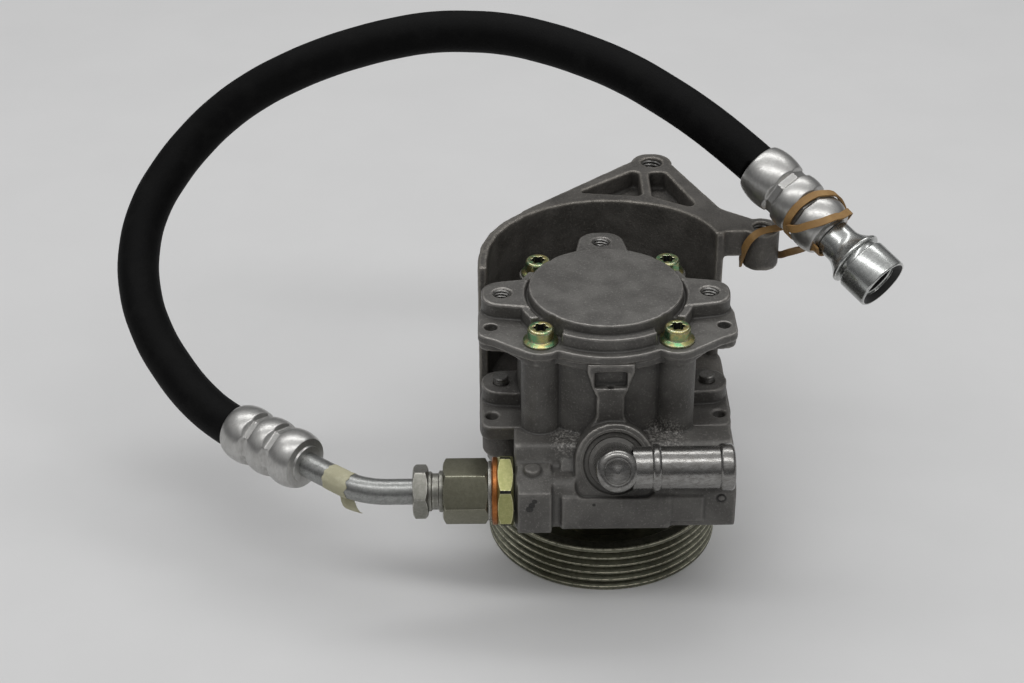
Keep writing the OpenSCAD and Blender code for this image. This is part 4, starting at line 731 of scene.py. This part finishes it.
def on_tube(along, down, outward):
    """A place beside the tube's middle line, measured from the bend's end towards the hose."""
    turn = BEND + min(along, 0) / BEND_R
    ahead = Vector((-math.cos(turn), math.sin(turn), 0))
    beside = Vector((-math.sin(turn), -math.cos(turn), 0))
    middle = bend_centre + beside * BEND_R + ahead * max(along, 0)
    return middle + beside * outward - Vector((0, 0, down))


tape = bmesh.new()
strip = [tape.verts.new((TAPE_R * MM, 0, TAPE_ROW * k * MM)) for k in range(TAPE_ROWS)]
strip_edges = [tape.edges.new(pair) for pair in zip(strip, strip[1:])]
bmesh.ops.spin(tape, geom=strip + strip_edges, cent=(0, 0, 0), axis=(0, 0, 1), dvec=(0, 0, 0),
               angle=TAPE_TURN, steps=80)
for v in tape.verts:
    turn, row = math.atan2(v.co.y, v.co.x), v.co.z / MM
    torn = 1.3 if row < 0.5 or row > TAPE_ROW * (TAPE_ROWS - 2) else 0.25
    v.co.z += noise.noise(Vector((turn * 2.2, row * 0.06, 3))) * torn * MM
    v.co.xy *= 1 + 0.025 * noise.noise(Vector((turn * 3, row * 0.3, 7)))
tail = [tape.verts.new((5.2 * MM, 0.4 * MM, h * MM)) for h in (-0.6, 1.2, 3.0, 4.8, 6.4)]
out = [tape.edges.new(pair) for pair in zip(tail, tail[1:])]
for shift in ((1.3, 0.5, -1.0), (1.5, 0.9, -1.2), (1.5, 0.2, -1.0), (1.2, -0.7, -0.6), (0.6, -1.1, 0.2)):
    out, moved = extruded(tape, out)
    bmesh.ops.translate(tape, verts=moved, vec=Vector(shift) * MM)
for v in tape.verts:
    v.co = on_tube(TAPE_FROM + v.co.z / MM, v.co.x / MM, v.co.y / MM) * MM
bmesh.ops.solidify(tape, geom=tape.faces, thickness=TAPE_T * MM)
closed(tape)
piece("paper_wrap", tape, [tape_paper], "pump", ["tube_tape"], 60)

# %% [markdown]
# ## Crimp sleeves
# Each hose end sits in a soft metal sleeve that a press has squeezed in two rows of eight jaws. The sleeve
# is turned with three bulges, and the jaws' marks are pressed in by pulling the vertices of each waist down
# to eight flats with a slope at both ends, which leaves thin ridges between the jaws.

# %% Crimp sleeves
WAISTS, WAIST_R, BULGE_R, FULLNESS, SLEEVE_L = (17, 29), 9.95, 11.8, 0.62, 41.5
JAW_R, JAW_HALF, JAW_SLOPE, JAW_REACH = 9.5, 1.35, 1.4, 3


def sleeve_radius(t, start):
    """The radius of the three bulges at a way along the sleeve, before the jaws press it."""
    marks = (start, *WAISTS, SLEEVE_L)
    for low, high in zip(marks, marks[1:]):
        if t <= high:
            swell = max(0.0, math.sin(math.pi * (t - low) / (high - low))) ** FULLNESS
            return WAIST_R + (BULGE_R - WAIST_R) * swell
    return WAIST_R


def sleeve(name, place, turn, start, node):
    steps = 166
    heights = [start + (SLEEVE_L - start) * i / steps for i in range(1, steps)]
    bm = bmesh.new()
    mouth = [(8.5, start + 0.5), (9.0, start), (9.6, start)]
    shoulder = [(r, SLEEVE_L + h) for r, h in ((9.3, 0), (7.7, 0.2), (7.5, 1.1), (7.2, 1.2), (5, 1.2))]
    turned(bm, mouth + [(sleeve_radius(t, start), t) for t in heights] + shoulder, 192)
    for v in bm.verts:
        off = math.remainder(math.atan2(v.co.y, v.co.x) + turn, math.pi / 4)
        for waist in WAISTS:
            beyond = max(0.0, abs(v.co.z / MM - waist) - JAW_HALF)
            pressed = (JAW_R / math.cos(off) + beyond * JAW_SLOPE) * MM
            if beyond < JAW_REACH and v.co.xy.length > pressed:
                v.co.xy *= pressed / v.co.xy.length
    closed(bm)
    return piece(name, bm, [sleeve_metal], "pump", [node], 40, place)


near_sleeve = sleeve("near_sleeve", pointing(near_end, -near_dir), 0.2, NEAR_INSET, "near_ferrule")
far_sleeve = sleeve("far_sleeve", pointing(far_end, far_dir), 0.35, FAR_INSET, "far_ferrule")

# %% [markdown]
# ## Screw coupling
# The far end of the hose carries a coupling: a neck that flares into a collar, a groove, and a short cap
# with a deep chamfered mouth. It is one turned outline. The mouth and the bore get the nearly black finish,
# for oil and as painted shade deep inside them, apart from the thin bright step between them.

# %% Coupling
fitting = bmesh.new()
turned(fitting, [
    (4.8, -6), (5, -6), (5, 1.3), (7.2, 1.4), (7.5, 1.8), (7.5, 7.2), (7.6, 8), (7.9, 9), (8.4, 10.1),
    (9.1, 11.3), (10, 12.5), (10.9, 13.5), (11.5, 14.1), (11.5, 14.9), (11.2, 15.2), (9.3, 15.4), (9.3, 17.3),
    (10.6, 17.4), (11, 17.9), (11, 29.4), (10.7, 29.9), (10.2, 30), (7.4, 27.8), (7.4, 27), (6.9, 26.8),
    (6.9, 19), (3.5, 19), (3.5, 0)], 128)
closed(fitting)
softened(fitting, 0.15, 24)
# The mouth and the bore take the nearly black finish: oil and painted shade inside them.
darkened(fitting, lambda r, t: r < 10 and t > 18 and not (t > 26.7 and 6.95 < r < 7.45))
coupling = piece("screw_coupling", fitting, [bright_zinc, oily_shade], "pump",
                 ["hose_coupling"], place=pointing(far_end + far_dir * SLEEVE_L, far_dir))

# %% [markdown]
# ## The hose's finish
# The hose was drawn as a curve at the start. Now that its end pieces are there, it gets its finish and
# rides on the pump in place of the imported hose.

# %% Hose finish
hose.data.materials.append(hose_cover)
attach(hose, "pump")
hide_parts("pressure_hose")

# %% [markdown]
# ## Rubber band
# A flat band ties the hose's far end to the bracket's ear. It is one ribbon: a short edge that is extruded
# from point to point, twice round the sleeve and once round the ear, lying flat on what it wraps, with a
# turn between the two, and then given a thickness. Each point is given with the way the flat side faces.

# %% Rubber band
BAND_W, BAND_T = 2.9, 0.8
side_dir = Vector((0, 0, 1)).cross(far_dir).normalized()
lift_dir = far_dir.cross(side_dir)


def on_sleeve(degrees, t, r):
    """A place on the far sleeve, by angle, way along it and radius, and where the flat side faces there."""
    flat = side_dir * math.cos(math.radians(degrees)) + lift_dir * math.sin(math.radians(degrees))
    return far_end + far_dir * t + flat * r, flat


def smooth_line(points, steps=6):
    """Points of a smooth line through the given ones."""
    last, line = len(points) - 1, []
    for i in range(last):
        a, b, c, d = points[max(i - 1, 0)], points[i], points[i + 1], points[min(i + 2, last)]
        for k in range(steps):
            u = k / steps
            curve = (a * 2 - b * 5 + c * 4 - d) * u * u + (b * 3 - a - c * 3 + d) * u ** 3
            line.append((b * 2 + (c - a) * u + curve) / 2)
    return line + [points[last]]


def ribbon(bm, places, flats, width):
    """Extrudes a short edge along the places, square to the way and to the direction its flat faces."""
    low, high = bm.verts.new(), bm.verts.new()
    edge = bm.edges.new((low, high))
    for i, (place, flat) in enumerate(zip(places, flats)):
        ahead = places[min(i + 1, len(places) - 1)] - places[max(i - 1, 0)]
        across = ahead.cross(flat).normalized() * width / 2
        if i:
            _, fresh = extruded(bm, [edge])
            if bm.edges.get((low, fresh[0])) is None:
                fresh.reverse()
            low, high = fresh
            edge = bm.edges.get(fresh)
        low.co, high.co = (place - across) * MM, (place + across) * MM


GRIP = [
    (195, 42.7, 8.7), (225, 43.2, 8.3), (262, 43.4, 8.3), (296, 43.2, 8.8), (322, 42, 10.2), (345, 40, 11.8),
    (362, 38, 12.5), (378, 35.8, 12.7), (400, 33.4, 12.5), (422, 32.4, 12.3), (442, 31.1, 11.9),
    (460, 29.2, 11), (489, 28.3, 10.9), (515, 28.1, 10.9), (544, 28.4, 10.9), (590, 29.2, 11), (630, 31, 12),
    (680, 35, 12.7), (716, 38.4, 12.4), (738, 39.6, 11.8), (762, 40.8, 11.3), (790, 42, 10.7),
    (812, 42.4, 10.7), (826, 41.6, 11.2), (852, 40, 12.3), (872, 37.2, 12.9), (890, 34.4, 13),
    (902, 31.4, 12.8)]
EAR_BACK = [
    ((64.9, 48.8, 101), (0, 1, 0)), ((70.2, 46.9, 101), (0.66, 0.75, 0)),
    ((72.7, 42.8, 101.5), (0.95, 0.3, 0))]
EAR_FRONT = [
    ((73.8, 38.6, 117.3), (0.1, 0.45, -0.9)), ((70, 37.2, 117.2), (0.1, 0.5, -0.86)),
    ((66, 35.8, 117), (0, 0.55, -0.83)), ((62.6, 34.5, 116.4), (0.12, 0.75, -0.65)),
    ((59.9, 33.9, 114.3), (0.45, 0.85, -0.3)), ((57.9, 35.2, 110), (0.75, 0.65, -0.1)),
    ((56.8, 37.6, 104), (0.93, 0.36, 0)), ((56.6, 40.2, 99.2), (1, 0.05, 0.05)),
    ((57.2, 43.6, 98.4), (0.93, -0.36, 0)), ((60, 47.2, 99.3), (0.62, -0.78, 0)),
    ((64.9, 48.8, 101), (0, -1, 0))]


def straight(start, end, flats):
    """Stations on the straight way between two others, with the band's turn at each."""
    first, last = Vector(start[0]), Vector(end[0])
    return [(first.lerp(last, (k + 1) / (len(flats) + 1)), flat) for k, flat in enumerate(flats)]


grip = [on_sleeve(*place) for place in GRIP]
stations = EAR_BACK + straight(EAR_BACK[-1], grip[0], [(0.9, 0.35, 0.3), (0.7, 0.2, 0.6), (0.3, 0, 0.9)]) + grip
stations += straight(grip[-1], EAR_FRONT[0], [(-0.45, -0.2, -0.5), (-0.15, 0.1, -0.75)]) + EAR_FRONT
strap = bmesh.new()
ribbon(strap, smooth_line([Vector(place) for place, _ in stations]),
       smooth_line([Vector(flat) for _, flat in stations]), BAND_W)
bmesh.ops.solidify(strap, geom=strap.faces, thickness=BAND_T * MM)
closed(strap)
piece("rubber_strap", strap, [band_rubber], "pump", ["rubber_band"], 60)

# %% [markdown]
# ## Valve spring
# The spring behind the flow valve's spool gives way when the spool moves, which a rigid solid can't do. Its
# wire is a small ring that is spun and lifted at the same time.

# %% Valve spring
WIRE_R, COIL_TURNS, COIL_STEPS, SPOOL_TRAVEL = 0.7, 7, 24, 8
low, high = (Vector(corner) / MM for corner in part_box("valve_spring"))
coil_r, coil_l = (high.z - low.z) / 2 - WIRE_R, high.x - low.x
coil = bmesh.new()
wire = bmesh.ops.create_circle(coil, segments=10, radius=WIRE_R * MM, cap_ends=False)["verts"]
bmesh.ops.transform(coil, verts=wire, matrix=Matrix.Translation(Vector((coil_r, 0, WIRE_R)) * MM)
                    @ Matrix.Rotation(math.pi / 2, 4, "X"))
bmesh.ops.spin(coil, geom=wire + list(coil.edges), cent=(0, 0, 0), axis=(0, 0, 1),
               dvec=(0, 0, (coil_l - 2 * WIRE_R) * MM / (COIL_TURNS * COIL_STEPS)),
               angle=2 * math.pi * COIL_TURNS, steps=COIL_TURNS * COIL_STEPS)
bmesh.ops.remove_doubles(coil, verts=coil.verts, dist=1e-7)
bmesh.ops.holes_fill(coil, edges=coil.edges, sides=0)
closed(coil)
valve_coil = piece("valve_coil", coil, [ground_steel], "pump", ["valve_spring"],
                   place=outlet(high.x))
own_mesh(valve_coil)

# %% [markdown]
# ## Pieces that stay as they are
# The inner pieces and the bolts under the bracket are already the right shape, so they only get a finish.

# %% Finishes of the other nodes
plain = {
    "olive_zinc": olive_zinc, "black_rubber": hose_cover, "ground_steel": ground_steel, "bronze": bronze,
    "cast_body": body_iron, "cast_bracket": bracket_iron, "yellow_zinc": yellow_zinc,
    "bright_zinc": bright_zinc, "tube_steel": tube_zinc, "bare_steel": bare_steel,
    "ferrule_aluminium": sleeve_metal, "copper": copper, "tan_rubber": band_rubber, "paper": tape_paper}
slots = {part["node"]: part["material_slot"] for part in frame["record"]["subparts"]}
for node, form in frame["nodes"].items():
    for holder in form.material_slots:
        holder.material = tapped_steel if node == "bracket_bolts" else plain[slots[node]]
print("finished nodes:", len(frame["nodes"]))

# %% [markdown]
# ## Floor
# The pump stands on a pale seamless floor. A plane is enough: it is so wide that its edge is never seen. Its
# paper is not quite even.

# %% Floor
FLOOR_DARK, FLOOR_PALE, FLOOR_SIZE = (0.655, 0.655, 0.655), (0.67, 0.67, 0.67), 4.0
paper = Finish("floor_paper")
floor_paper = paper.done({
    "Base Color": paper.mix(paper.between(paper.blotches(60), 0.3, 0.7), FLOOR_DARK, FLOOR_PALE),
    "Roughness": 0.85})
ground = bmesh.new()
bmesh.ops.create_grid(ground, x_segments=1, y_segments=1, size=FLOOR_SIZE)
floor_mesh = bpy.data.meshes.new("floor")
ground.to_mesh(floor_mesh)
ground.free()
floor_mesh.materials.append(floor_paper)
floor = bpy.data.objects.new("floor", floor_mesh)
scene.collection.objects.link(floor)
print("floor ready")

# %% [markdown]
# ## Light
# A plain even sky would leave metal flat. This one darkens towards the horizon, so that metal has something
# dark to reflect, and two long soft lamps above draw two streaks along each round metal piece.

# %% Light
SKY_LOW, SKY_HIGH, LAMP_L, LAMP_W, LAMP_POWER = (0.1, 0.1, 0.102), (0.7, 0.7, 0.7), 1.8, 0.24, 4.7
sky = bpy.data.worlds.new("sky")
scene.world = sky
air = Finish("sky", sky)
direction = air.node("ShaderNodeTexCoord", output="Generated")
height = air.node("ShaderNodeSeparateXYZ", None, {"Vector": direction}, output="Z")
backdrop = air.nodes["Background"].inputs
air.feed(backdrop["Color"], air.mix(air.between(height, 0.1, 0.95), SKY_LOW, SKY_HIGH))
air.feed(backdrop["Strength"], 1.0)


def strip_lamp(name, place, target):
    lamp = bpy.data.lights.new(name, "AREA")
    lamp.shape, lamp.size, lamp.size_y, lamp.energy = "RECTANGLE", LAMP_L, LAMP_W, LAMP_POWER
    holder = bpy.data.objects.new(name, lamp)
    place, target = Vector(place), Vector(target)
    aim = (target - place).to_track_quat("-Z", "Y").to_matrix().to_4x4()
    holder.matrix_world = Matrix.Translation(place) @ aim
    scene.collection.objects.link(holder)


strip_lamp("back_strip", (-0.05, 0.6, 1.2), (0, 0, 0.05))
strip_lamp("front_strip", (-0.05, -0.38, 1.2), (0, 0, 0.05))
print("lamps ready")
